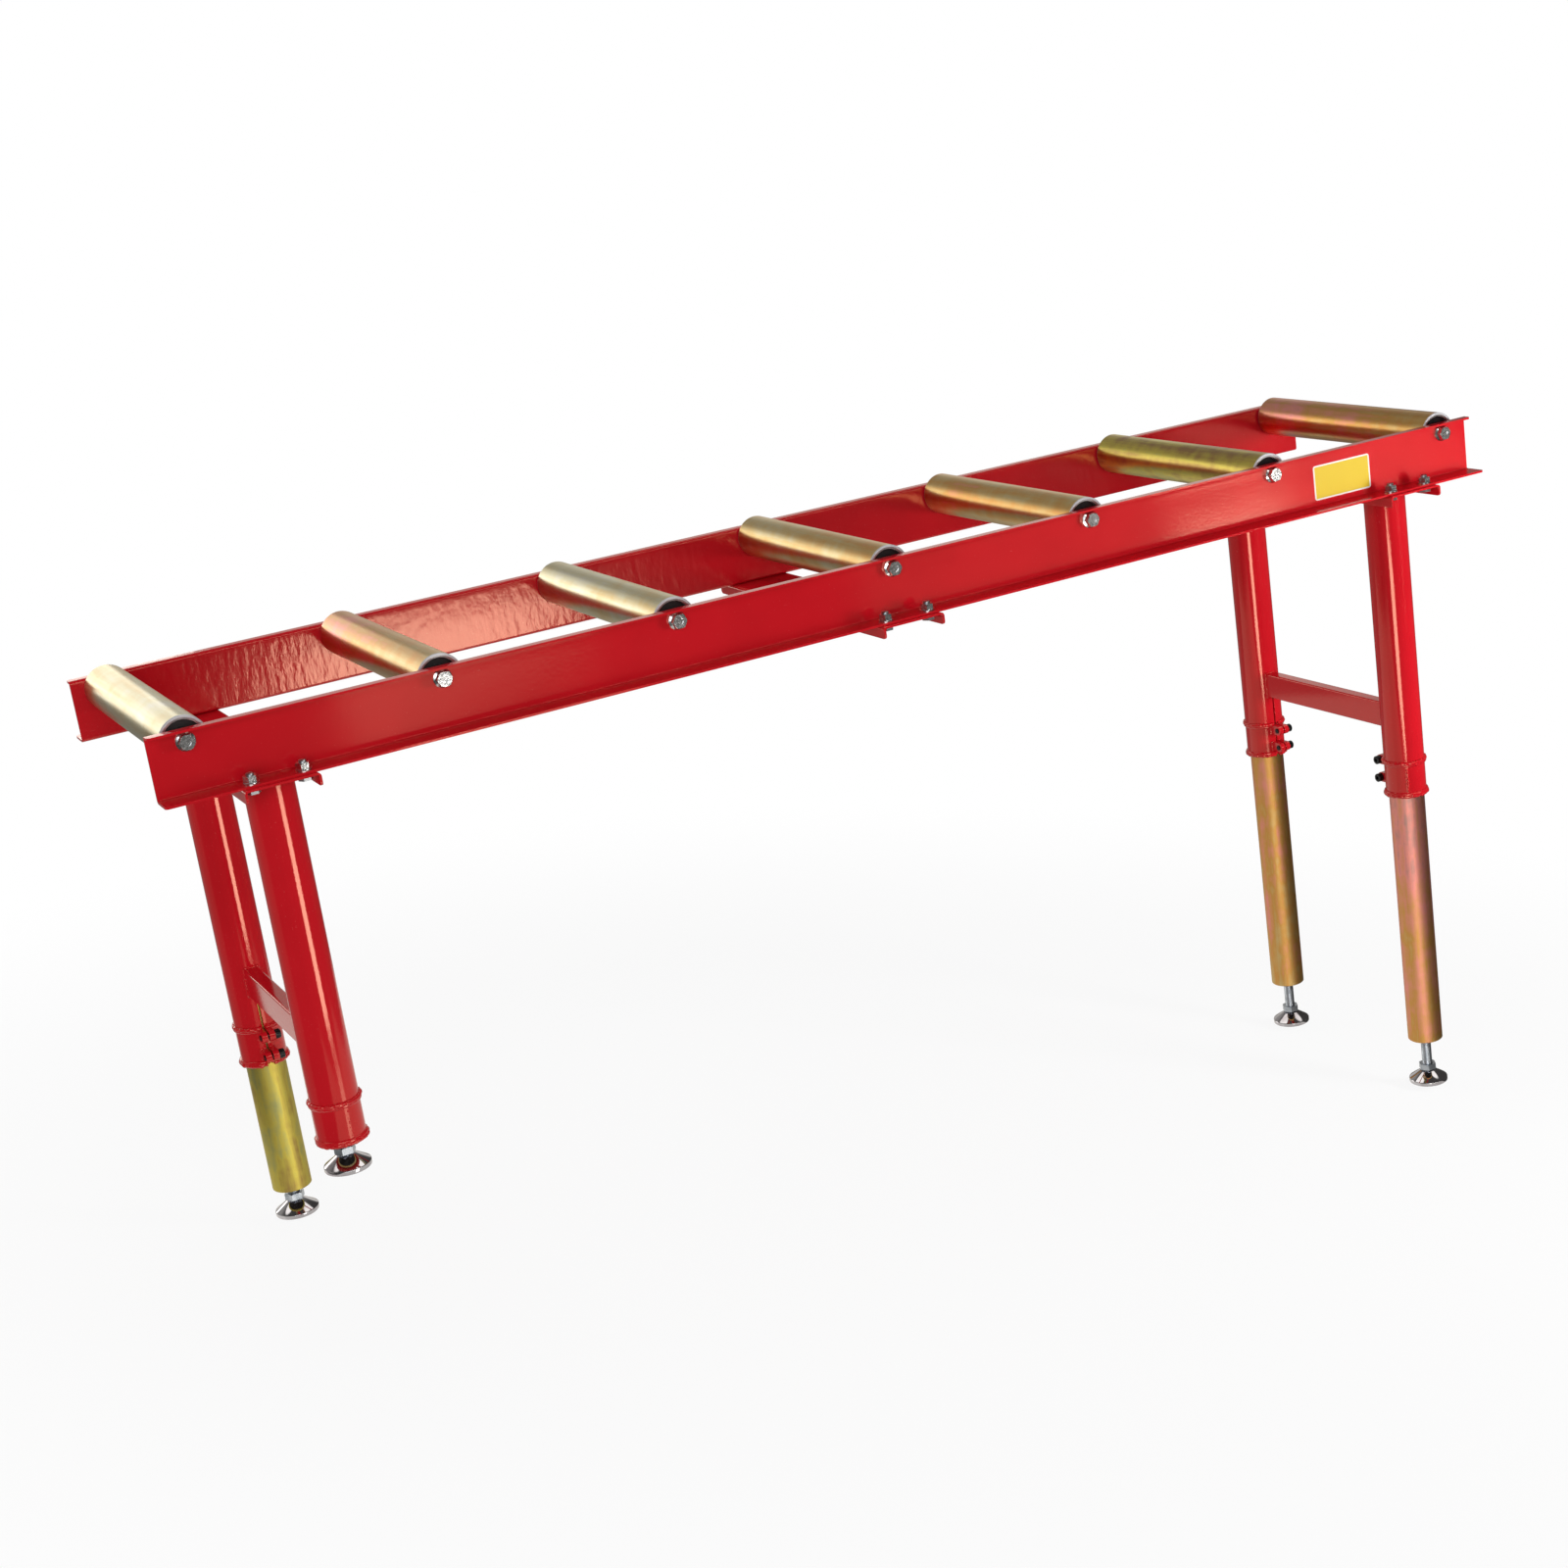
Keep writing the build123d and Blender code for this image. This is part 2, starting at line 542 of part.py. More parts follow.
def foot(leg):
    """The conical foot with its ball socket."""
    x, y = LEG_PLACES[leg]
    points = [
        (0, 0),
        (FOOT_DIAMETER / 2, 0),
        (FOOT_DIAMETER / 2, FOOT_RIM_HEIGHT),
        (FOOT_TOP_DIAMETER / 2, FOOT_HEIGHT),
        (0, FOOT_HEIGHT),
    ]
    body = revolve(Plane.XZ * make_face(Polyline(*points, close=True)), Axis.Z)
    edges = [e for e in body.edges().filter_by(GeomType.CIRCLE) if e.center().Z > FOOT_EDGE_RADIUS]
    body = fillet(edges, FOOT_EDGE_RADIUS)
    socket = Pos(Z=FOOT_BALL_HEIGHT) * Sphere(SPINDLE_BALL_DIAMETER / 2 + BALL_PLAY)
    return Pos(x, y, foot_base(leg)) * (body - socket)


def blank_label():
    """The bare label on the outside of the near rail's web."""
    face = RectangleRounded(LABEL_WIDTH, LABEL_HEIGHT, LABEL_CORNER_RADIUS)
    film = extrude(Plane.XZ * face, LABEL_THICKNESS)
    return Pos(BED_LENGTH / 2 - LABEL_FROM_END, -WEB_OUTER, RAIL_BASE + LABEL_CENTRE_HEIGHT) * film


def build():
    """Every node of the conveyor by its name."""
    nodes = {
        "near_rail": rail("near_rail"),
        "far_rail": rail("far_rail"),
        "roller_axles": roller_axles(),
        "roller_bolts": roller_bolts(),
        "frame_bolts": frame_bolts(),
        "frame_washers": frame_washers(),
        "frame_nuts": frame_nuts(),
        "clamp_lugs": clamp_lugs(),
        "clamp_screws": clamp_screws(),
        "left_crossbar": crossbar(-LEG_X),
        "right_crossbar": crossbar(LEG_X),
        "blank_label": blank_label(),
    }
    for name, x in CHANNEL_X.items():
        nodes[name] = channel(x)
    for number, x in enumerate(ROLLER_PLACES, start=1):
        nodes[f"roller_tube_{number}"] = roller_tube(x)
        nodes[f"roller_bearings_{number}"] = roller_bearings(x)
    for leg in LEG_PLACES:
        nodes[f"{leg}_leg"] = leg_tube(leg)
        nodes[f"{leg}_clamp_sleeve"] = clamp_sleeve(leg)
        nodes[f"{leg}_inner_tube"] = stem(leg)
        nodes[f"{leg}_tube_plug"] = stem_plug(leg)
        nodes[f"{leg}_spindle"] = spindle(leg)
        nodes[f"{leg}_foot_nut"] = foot_nut(leg)
        nodes[f"{leg}_foot"] = foot(leg)
    return nodes


def save(nodes):
    """One file for each node in the folder parts."""
    os.makedirs("parts", exist_ok=True)
    for name, piece in nodes.items():
        solids = []
        for item in piece if isinstance(piece, list) else [piece]:
            solids.extend(item.solids())
        shape = solids[0] if len(solids) == 1 else Compound(children=solids)
        export_step(shape, f"parts/{name}.step")


save(build())
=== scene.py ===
import math

import bmesh
import bpy
from mathutils import Matrix, Quaternion, Vector


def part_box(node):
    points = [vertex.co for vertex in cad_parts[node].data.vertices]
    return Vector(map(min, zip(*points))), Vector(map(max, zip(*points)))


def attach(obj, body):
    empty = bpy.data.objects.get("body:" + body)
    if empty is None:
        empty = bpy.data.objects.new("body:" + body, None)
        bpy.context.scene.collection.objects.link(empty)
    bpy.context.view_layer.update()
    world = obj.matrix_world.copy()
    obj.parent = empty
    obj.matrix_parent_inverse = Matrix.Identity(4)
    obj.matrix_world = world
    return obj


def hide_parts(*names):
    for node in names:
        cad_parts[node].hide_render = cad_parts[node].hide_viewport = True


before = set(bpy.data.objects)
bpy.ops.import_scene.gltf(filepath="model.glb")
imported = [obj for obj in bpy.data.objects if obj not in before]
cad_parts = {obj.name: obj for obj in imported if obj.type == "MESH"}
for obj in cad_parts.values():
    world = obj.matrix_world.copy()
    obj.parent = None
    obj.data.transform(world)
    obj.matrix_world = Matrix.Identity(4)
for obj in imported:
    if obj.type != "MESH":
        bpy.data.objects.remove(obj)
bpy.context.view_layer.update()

# The two rails of the bed
# Each is folded from 3 mm sheet, with a narrow lip above and a wide flange below, and sprayed red.
# The paint rounds the cut edges, and dries with a fine orange peel and a few light scratches.

PAINT_RED = (0.62, 0.0075, 0.0165, 1.0)
PAINT_DEEP = (0.56, 0.0060, 0.0140, 1.0)
PAINT_SCRATCH = (0.75, 0.16, 0.15, 1.0)
PATCH_SIZE = 0.18
PATCH_STEP = (0.35, 0.65)
SPECK_SIZE = 0.0022
SPECK_STEP = (0.70, 0.78)
SPECK_SHARE = 0.25
SCRATCH_GRAIN = (0.12, 1.0, 1.0)
SCRATCH_SIZE = 0.0030
SCRATCH_STEP = (0.745, 0.765)
SCUFFED_SIZE = 0.05
SCUFFED_STEP = (0.60, 0.66)
NEAR_RAIL_SCRATCHES = 0.8
FAR_RAIL_SCRATCHES = 0.4
PAINT_ROUGHNESS = 0.08
FAR_RAIL_ROUGHNESS = 0.12
HAZE_SIZE = 0.06
HAZE_SHARE = 0.05
PAINT_SHINE = 0.8
SHINE_TINT = (1.0, 0.62, 0.46, 1.0)
PEEL_SIZE = 0.0045
PEEL_DEPTH = 0.00004
RIPPLE_SIZE = 0.040
RIPPLE_DEPTH = 0.00005
FAR_RAIL_BOW = (0.044, 0.030)
WAVE_GRAIN = (1.0, 1.0, 0.40)
WAVE_SIZE = 0.009
WAVE_DEPTH = 0.00042
SHEET_EDGE = 0.0006
EDGE_FACETS = 2
EDGE_ANGLE = math.radians(28)
FLAT_ANGLE = math.radians(1)
CORNER_MERGE = 0.00001


class Value:
    """One value of a tree that varies over a surface: + - * / on it add Math nodes."""

    def __init__(self, nodes, socket):
        self.nodes = nodes
        self.socket = socket

    def math(self, operation, *others):
        operands = dict(enumerate((self, *others)))
        return self.nodes.add("ShaderNodeMath", {"operation": operation}, operands)

    def __add__(self, other):
        return self.math("ADD", other)

    def __sub__(self, other):
        return self.math("SUBTRACT", other)

    def __rsub__(self, other):
        return self.math("MULTIPLY_ADD", -1.0, other)

    def __mul__(self, other):
        return self.math("MULTIPLY", other)

    def __truediv__(self, other):
        return self.math("DIVIDE", other)

    def __rtruediv__(self, other):
        return self.math("POWER", -1.0) * other

    __radd__ = __add__
    __rmul__ = __mul__


class Nodes:
    """The nodes of one tree, wired from one method."""

    def __init__(self, tree):
        self.tree = tree

    def add(self, kind, settings=None, inputs=None, output=0):
        """A node of a type, with its settings first, then the values or links of its sockets."""
        node = self.tree.nodes.new(kind)
        for name, setting in (settings or {}).items():
            if name == "stops":
                while len(node.color_ramp.elements) < len(setting):
                    node.color_ramp.elements.new(1.0)
                for stop, (place, colour) in zip(node.color_ramp.elements, setting):
                    stop.position = place
                    stop.color = colour
            else:
                setattr(node, name, setting)
        for name, given in (inputs or {}).items():
            if isinstance(given, Value):
                self.tree.links.new(given.socket, node.inputs[name])
            else:
                node.inputs[name].default_value = given
        return Value(self, node.outputs[output]) if node.outputs else None

    def axes(self, vector):
        """The three coordinates of a vector."""
        first = self.add("ShaderNodeSeparateXYZ", inputs={"Vector": vector})
        return [Value(self, socket) for socket in first.socket.node.outputs]

    def vector(self, operation, inputs, output="Vector"):
        """A Vector Math node."""
        return self.add("ShaderNodeVectorMath", {"operation": operation}, inputs, output)


class Look(Nodes):
    """The nodes of a material or a world."""

    def __init__(self, owner):
        owner.use_nodes = True
        owner.node_tree.nodes.clear()
        super().__init__(owner.node_tree)

    def place(self):
        """Object coordinates, which are the part's own metres."""
        return self.add("ShaderNodeTexCoord", output="Object")

    def stretched(self, vector, scale):
        """A vector with each coordinate scaled by itself."""
        return self.add("ShaderNodeMapping", inputs={"Vector": vector, "Scale": scale})

    def noise(self, vector, size, detail, roughness=0.5):
        """Noise from 0 to 1 with features of about one size, in metres."""
        inputs = {"Vector": vector, "Scale": 1 / size, "Detail": detail, "Roughness": roughness}
        return self.add("ShaderNodeTexNoise", inputs=inputs)

    def ramp(self, value, low, high):
        """A soft step from 0 at the low value to 1 at the high value."""
        inputs = {"Value": value, "From Min": low, "From Max": high}
        return self.add("ShaderNodeMapRange", {"interpolation_type": "SMOOTHSTEP"}, inputs)

    def mix(self, factor, first, second):
        """A colour between two others."""
        inputs = {0: factor, 6: first, 7: second}
        return self.add("ShaderNodeMix", {"data_type": "RGBA"}, inputs, output=2)

    def bump(self, height, distance, normal=None):
        """A bump of a height in metres."""
        inputs = {"Height": height, "Distance": distance}
        if normal:
            inputs["Normal"] = normal
        return self.add("ShaderNodeBump", inputs=inputs)

    def surface(self, **inputs):
        """The principled shader at the material's output, its sockets named with underscores."""
        named = {name.replace("_", " "): given for name, given in inputs.items()}
        shader = self.add("ShaderNodeBsdfPrincipled", inputs=named)
        self.add("ShaderNodeOutputMaterial", inputs={"Surface": shader})


def paint(name, scratches=0.0, bow=None, roughness=PAINT_ROUGHNESS, ripple=RIPPLE_DEPTH):
    """Glossy red paint: deeper patches, specks, scratches, orange peel, ripples, a sheet's bow."""
    material = bpy.data.materials.new(name)
    look = Look(material)
    place = look.place()
    patches = look.ramp(look.noise(place, PATCH_SIZE, detail=3.0), *PATCH_STEP)
    colour = look.mix(patches, PAINT_DEEP, PAINT_RED)
    specks = look.ramp(look.noise(place, SPECK_SIZE, detail=1.0), *SPECK_STEP)
    colour = look.mix(specks * SPECK_SHARE, colour, PAINT_SCRATCH)
    if scratches:
        grain = look.stretched(place, SCRATCH_GRAIN)
        lines = look.ramp(look.noise(grain, SCRATCH_SIZE, detail=1.0), *SCRATCH_STEP)
        scuffed = look.ramp(look.noise(place, SCUFFED_SIZE, detail=2.0), *SCUFFED_STEP)
        colour = look.mix(lines * scuffed * scratches, colour, PAINT_SCRATCH)
    normal = look.bump(look.noise(place, PEEL_SIZE, detail=1.0), PEEL_DEPTH)
    normal = look.bump(look.noise(place, RIPPLE_SIZE, detail=2.0), ripple, normal)
    if bow:
        waves = look.noise(look.stretched(place, WAVE_GRAIN), WAVE_SIZE, detail=3.0)
        normal = look.bump(waves, WAVE_DEPTH, normal)
        x, y, z = look.axes(place)
        normal = look.bump(x * bow[0] + z * bow[1], 1.0, normal)
    look.surface(
        Base_Color=colour,
        Roughness=roughness + HAZE_SHARE * look.noise(place, HAZE_SIZE, detail=3.0),
        Normal=normal,
        Specular_IOR_Level=PAINT_SHINE,
        Specular_Tint=SHINE_TINT,
    )
    return material


def softened(node, edge, material):
    """A CAD node's shape with its sharp edges rounded, which stands in for the node."""
    work = bmesh.new()
    work.from_mesh(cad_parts[node].data)
    bmesh.ops.remove_doubles(work, verts=work.verts, dist=CORNER_MERGE)
    bmesh.ops.dissolve_limit(work, angle_limit=FLAT_ANGLE, verts=work.verts, edges=work.edges)
    mesh = bpy.data.meshes.new(node + "_painted")
    work.to_mesh(mesh)
    work.free()
    mesh.attributes.remove(mesh.attributes["custom_normal"])
    mesh.shade_smooth()
    mesh.materials.clear()
    mesh.materials.append(material)
    piece = bpy.data.objects.new(node + "_painted", mesh)
    bpy.context.scene.collection.objects.link(piece)
    rounded = piece.modifiers.new("rounded", "BEVEL")
    rounded.width = edge
    rounded.segments = EDGE_FACETS
    rounded.limit_method = "ANGLE"
    rounded.angle_limit = EDGE_ANGLE
    rounded.harden_normals = True
    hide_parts(node)
    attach(piece, "bed_frame")


near_rail_paint = paint("near_rail_paint", scratches=NEAR_RAIL_SCRATCHES)
softened("near_rail", SHEET_EDGE, near_rail_paint)
far_rail_paint = paint(
    "far_rail_paint",
    scratches=FAR_RAIL_SCRATCHES,
    bow=FAR_RAIL_BOW,
    roughness=FAR_RAIL_ROUGHNESS,
)
softened("far_rail", SHEET_EDGE, far_rail_paint)

# The three cross channels
# Folded from the same sheet with their sides down, and bolted under both rails.
# The outer two are the heads of the leg frames.

FRAME_RIPPLE = 0.00001

frame_paint = paint("frame_paint", ripple=FRAME_RIPPLE)
for node in ("left_channel", "middle_channel", "right_channel"):
    softened(node, SHEET_EDGE, frame_paint)

# The leg frames
# Round outer tubes stand in the outer channels, joined in pairs by a rectangular crossbar.
# Below each, a clamp sleeve with two lugs on each side of its slit grips the inner tube.

TUBE_EDGE = 0.0005
LUG_EDGE = 0.0008
LEGS = ("near_left", "far_left", "near_right", "far_right")


def dressed(node, material):
    """A CAD node that stays, with its own material."""
    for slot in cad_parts[node].material_slots:
        slot.material = material


for node in ("left_crossbar", "right_crossbar"):
    softened(node, TUBE_EDGE, frame_paint)
for leg in LEGS:
    softened(leg + "_leg", TUBE_EDGE, frame_paint)
    dressed(leg + "_clamp_sleeve", frame_paint)
softened("clamp_lugs", LUG_EDGE, frame_paint)

# The weld beads
# Uneven beads laid by hand and painted over: round the heads of the legs, the ends of the
# crossbars, the rings and lugs of the sleeves, and in blobs down the seam of each near sleeve.

LEG_RADIUS = 0.031
LEG_X = 0.8625
LEG_Y = 0.176
HEAD_Z = 0.9660
HEAD_POINTS = 65
HEAD_BEAD = 0.0026
RING_Z = (0.489, 0.5415)
RING_BEADS = (0.0033, 0.0031)
RING_RADIUS = 0.0314
RING_POINTS = 90
RING_GAP_HALF = 0.0043
CROSSBAR_Z = 0.609
CROSSBAR_HALF = (0.010, 0.020)
CROSSBAR_BEAD = 0.0020
LUG_Z = (0.5045, 0.5335)
LUG_HALF = (0.0093, 0.0075)
LUG_START = 0.0030
LUG_BEAD = 0.0016
SEAM_RADIUS = 0.0302
SEAM_INSET = 0.007
SEAM_BLOBS = 7
BLOB_HALF = 0.0016
NEAR_SEAMS = ((LEG_X, math.radians(213), 0.0023), (-LEG_X, math.radians(169), 0.0012))
BEAD_SIZES = {"Step": 0.001, "Sides": 8, "Uneven": 1.10, "Wander": 0.0020, "Lump": 0.0042}
GIRTH_FINENESS = 0.7


class Tree(Nodes):
    """A Geometry Nodes tree with named inputs, whose result is made real and given a material."""

    def __init__(self, name, inputs):
        super().__init__(bpy.data.node_groups.new(name, "GeometryNodeTree"))
        face = self.tree.interface
        face.new_socket("Geometry", in_out="INPUT", socket_type="NodeSocketGeometry")
        for label, kind in inputs.items():
            face.new_socket(label, in_out="INPUT", socket_type="NodeSocket" + kind)
        face.new_socket("Material", in_out="INPUT", socket_type="NodeSocketMaterial")
        face.new_socket("Geometry", in_out="OUTPUT", socket_type="NodeSocketGeometry")
        self.source = self.add("NodeGroupInput").socket.node

    def given(self, label):
        """The value of a named input."""
        return Value(self, self.source.outputs[label])

    def finish(self, geometry):
        """The tree's last nodes: smooth faces, real geometry, and the material."""
        smooth = self.add("GeometryNodeSetShadeSmooth", inputs={"Geometry": geometry})
        real = self.add("GeometryNodeRealizeInstances", inputs={"Geometry": smooth})
        inputs = {"Geometry": real, "Material": self.given("Material")}
        coated = self.add("GeometryNodeSetMaterial", inputs=inputs)
        self.add("NodeGroupOutput", inputs={"Geometry": coated})


def grown(name, tree, start, sizes, material, body):
    """The plain mesh that a tree makes from a start mesh, riding on a body."""
    piece = bpy.data.objects.new(name, start)
    bpy.context.scene.collection.objects.link(piece)
    growth = piece.modifiers.new(name, "NODES")
    growth.node_group = tree.tree
    given = {**sizes, "Material": material}
    for socket in tree.tree.interface.items_tree:
        if socket.in_out == "INPUT" and socket.name in given:
            growth[socket.identifier] = given[socket.name]
    seen = piece.evaluated_get(bpy.context.evaluated_depsgraph_get())
    mesh = bpy.data.meshes.new_from_object(seen)
    piece.modifiers.remove(growth)
    piece.data = mesh
    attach(piece, body)


bead_inputs = {
    "Step": "Float",
    "Sides": "Int",
    "Uneven": "Float",
    "Wander": "Float",
    "Lump": "Float",
}
beads = Tree("weld_bead", bead_inputs)
path = beads.add("GeometryNodeMeshToCurve", inputs={"Mesh": beads.given("Geometry")})
path = beads.add(
    "GeometryNodeResampleCurve", {"mode": "LENGTH"}, {"Curve": path, "Length": beads.given("Step")}
)
fineness = 1.0 / beads.given("Lump")
drift = beads.add("ShaderNodeTexNoise", inputs={"Scale": fineness, "Detail": 1.0}, output="Color")
drift = beads.vector("SUBTRACT", {0: drift, 1: (0.5, 0.5, 0.5)})
drift = beads.vector("SCALE", {0: drift, "Scale": beads.given("Wander")})
path = beads.add("GeometryNodeSetPosition", inputs={"Geometry": path, "Offset": drift})
bead = beads.add("GeometryNodeInputNamedAttribute", {"data_type": "FLOAT"}, {"Name": "bead"})
lumps = beads.add(
    "ShaderNodeTexNoise", inputs={"Scale": fineness * GIRTH_FINENESS, "Detail": 1.0}
)
girth = bead * (1.0 + (lumps - 0.5) * beads.given("Uneven"))
profile = beads.add(
    "GeometryNodeCurvePrimitiveCircle", inputs={"Resolution": beads.given("Sides"), "Radius": 1.0}
)
beads.finish(
    beads.add(
        "GeometryNodeCurveToMesh",
        inputs={"Curve": path, "Profile Curve": profile, "Scale": girth, "Fill Caps": True},
    )
)

seams = bmesh.new()
bead_size = seams.verts.layers.float.new("bead")


def seam(points, bead, closed=False):
    """The path of one bead through points, with its radius."""
    corners = [seams.verts.new(point) for point in points]
    for corner in corners:
        corner[bead_size] = bead
    for first, second in zip(corners, corners[1:] + corners[:1] if closed else corners[1:]):
        seams.edges.new((first, second))


def around(x, y, z, radius, start, end, count):
    """Points on an arc about a leg, between two angles counted from the leg's inner side."""
    inward = -math.copysign(1.0, y)
    turns = [start + (end - start) * step / (count - 1) for step in range(count)]
    return [
        (x + radius * math.sin(turn), y + inward * radius * math.cos(turn), z) for turn in turns
    ]


def coped(x, y, z, outline):
    """An outline of points across and up, laid on the inner side of a leg."""
    inward = -math.copysign(1.0, y)
    return [
        (x + across, y + inward * math.sqrt(LEG_RADIUS**2 - across**2), z + up)
        for across, up in outline
    ]


half_width, half_height = CROSSBAR_HALF
crossbar_end = []
for side_x, side_z in ((1, 1), (1, -1), (-1, -1), (-1, 1)):
    crossbar_end.append((side_x * half_width, side_z * half_height))
    for share in (0.5, 0.0, -0.5):
        if side_x == side_z:
            crossbar_end.append((side_x * half_width, side_z * half_height * share))
        else:
            crossbar_end.append((side_x * half_width * share, side_z * half_height))

half_width, half_height = LUG_HALF
lug_root = [(LUG_START, half_height), (half_width, half_height), (half_width, 0.0)]
lug_root += [(half_width, -half_height), (LUG_START, -half_height)]

gap = RING_GAP_HALF / LEG_RADIUS
for x in (-LEG_X, LEG_X):
    for y in (-LEG_Y, LEG_Y):
        head = around(x, y, HEAD_Z, LEG_RADIUS, 0.0, math.tau, HEAD_POINTS)[:-1]
        seam(head, HEAD_BEAD, closed=True)
        for z, bead in zip(RING_Z, RING_BEADS):
            seam(around(x, y, z, RING_RADIUS, gap, math.tau - gap, RING_POINTS), bead)
        seam(coped(x, y, CROSSBAR_Z, crossbar_end), CROSSBAR_BEAD, closed=True)
        for z in LUG_Z:
            for side in (-1.0, 1.0):
                root = [(side * across, up) for across, up in lug_root]
                seam(coped(x, y, z, root), LUG_BEAD)

seam_bottom = RING_Z[0] + SEAM_INSET
seam_reach = RING_Z[1] - RING_Z[0] - 2 * SEAM_INSET
for x, turn, bead in NEAR_SEAMS:
    x, y, z = around(x, -LEG_Y, 0.0, SEAM_RADIUS, turn, turn, 2)[0]
    for number in range(SEAM_BLOBS):
        z = seam_bottom + seam_reach * (number + 0.5) / SEAM_BLOBS
        seam([(x, y, z - BLOB_HALF), (x, y, z + BLOB_HALF)], bead)

seam_mesh = bpy.data.meshes.new("weld_beads")
seams.to_mesh(seam_mesh)
seams.free()
grown("weld_beads", beads, seam_mesh, BEAD_SIZES, frame_paint, "bed_frame")

# The clamp screws
# Black oiled socket-head screws through the lugs.

OXIDE_BLACK = (0.012, 0.012, 0.013, 1.0)
OXIDE_WORN = (0.060, 0.058, 0.055, 1.0)
OXIDE_METALLIC = 0.7
OXIDE_ROUGHNESS = 0.30
WEAR_SIZE = 0.003
WEAR_STEP = (0.50, 0.75)
WEAR_ROUGHNESS = 0.15

black_oxide = bpy.data.materials.new("oiled_black_oxide")
look = Look(black_oxide)
wear = look.ramp(look.noise(look.place(), WEAR_SIZE, detail=3.0), *WEAR_STEP)
look.surface(
    Base_Color=look.mix(wear, OXIDE_BLACK, OXIDE_WORN),
    Metallic=OXIDE_METALLIC,
    Roughness=OXIDE_ROUGHNESS + WEAR_ROUGHNESS * wear,
)
dressed("clamp_screws", black_oxide)

# The inner tubes
# Drawn steel tube, zinc plated and passivated yellow: the film is gold, rose or green as its
# thickness varies, and it is rubbed in a few places where the tube has slid in its sleeve.

FILM = [
    (0.00, (0.62, 0.61, 0.56, 1.0)),
    (0.14, (0.60, 0.56, 0.38, 1.0)),
    (0.28, (0.58, 0.43, 0.19, 1.0)),
    (0.40, (0.58, 0.31, 0.085, 1.0)),
    (0.54, (0.74, 0.29, 0.25, 1.0)),
    (0.64, (0.42, 0.25, 0.22, 1.0)),
    (0.74, (0.34, 0.36, 0.17, 1.0)),
    (0.86, (0.60, 0.50, 0.10, 1.0)),
    (1.00, (0.34, 0.20, 0.08, 1.0)),
]
STREAK_SIZE = 0.012
STREAK_ROUGHNESS = 0.6
STREAK_SHARE = 0.38
CLOUD_SIZE = 0.07
CLOUD_SHARE = 0.26
BLOT_SIZE = 0.022
BLOT_SHARE = 0.20
RUBBED = (0.66, 0.60, 0.56, 1.0)
RUBBED_GRAIN = (1.0, 1.0, 0.4)
RUBBED_SIZE = 0.010
RUBBED_STEP = (0.74, 0.78)
CUT_STEEL = (0.62, 0.63, 0.65, 1.0)
CUT_METALLIC = 0.25
CUT_STEP = (-0.0014, -0.0009)
FILM_ROUGHNESS = 0.31
STREAK_GLOSS = 0.10
DRAWN_SIZE = 0.004
DRAWN_DEPTH = 0.00002
ALONG_TUBE = (1.0, 1.0, 0.08)
TUBE_RUB = 0.35
TUBE_ROUGHNESS = 0.54
TUBE_FILMS = {
    "near_left": (0.30, 0.34),
    "far_left": (0.87, 0.85),
    "near_right": (0.42, 0.56),
    "far_right": (0.38, 0.42),
}


def plating(name, film, along, grain, rub=0.0, roughness=FILM_ROUGHNESS, cut=None):
    """Yellow zinc plating whose film runs from one thickness to another along the tube."""
    material = bpy.data.materials.new(name)
    look = Look(material)
    place = look.place()
    axis, start, end = along
    share = look.ramp(look.axes(place)[axis], start, end)
    streaks = look.stretched(place, grain)
    streaks = look.noise(streaks, STREAK_SIZE, detail=4.0, roughness=STREAK_ROUGHNESS) - 0.5
    clouds = look.noise(place, CLOUD_SIZE, detail=3.0) - 0.5
    blots = look.noise(place, BLOT_SIZE, detail=3.0) - 0.5
    depth = film[0] + (film[1] - film[0]) * share
    depth = depth + STREAK_SHARE * streaks + CLOUD_SHARE * clouds + BLOT_SHARE * blots
    colour = look.add("ShaderNodeValToRGB", {"stops": FILM}, {"Fac": depth})
    metallic = 1.0
    if rub:
        rubs = look.noise(look.stretched(place, RUBBED_GRAIN), RUBBED_SIZE, detail=3.0)
        colour = look.mix(look.ramp(rubs, *RUBBED_STEP) * rub, colour, RUBBED)
    if cut:
        outward = look.axes(place)[axis].math("ABSOLUTE")
        faced = look.ramp(outward, cut + CUT_STEP[0], cut + CUT_STEP[1])
        colour = look.mix(faced, colour, CUT_STEEL)
        metallic = 1.0 - (1.0 - CUT_METALLIC) * faced
    look.surface(
        Base_Color=colour,
        Metallic=metallic,
        Roughness=roughness + STREAK_GLOSS * streaks,
        Normal=look.bump(look.noise(place, DRAWN_SIZE, detail=2.0), DRAWN_DEPTH),
    )
    return material


for leg in LEGS:
    low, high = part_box(leg + "_inner_tube")
    tube_plating = plating(
        leg + "_tube_plating",
        TUBE_FILMS[leg],
        (2, low[2], high[2]),
        ALONG_TUBE,
        rub=TUBE_RUB,
        roughness=TUBE_ROUGHNESS,
    )
    dressed(leg + "_inner_tube", tube_plating)

# The levelling feet
# A zinc-plated spindle turns in the tube's plug, and its ball stands in a turned, chromed foot.

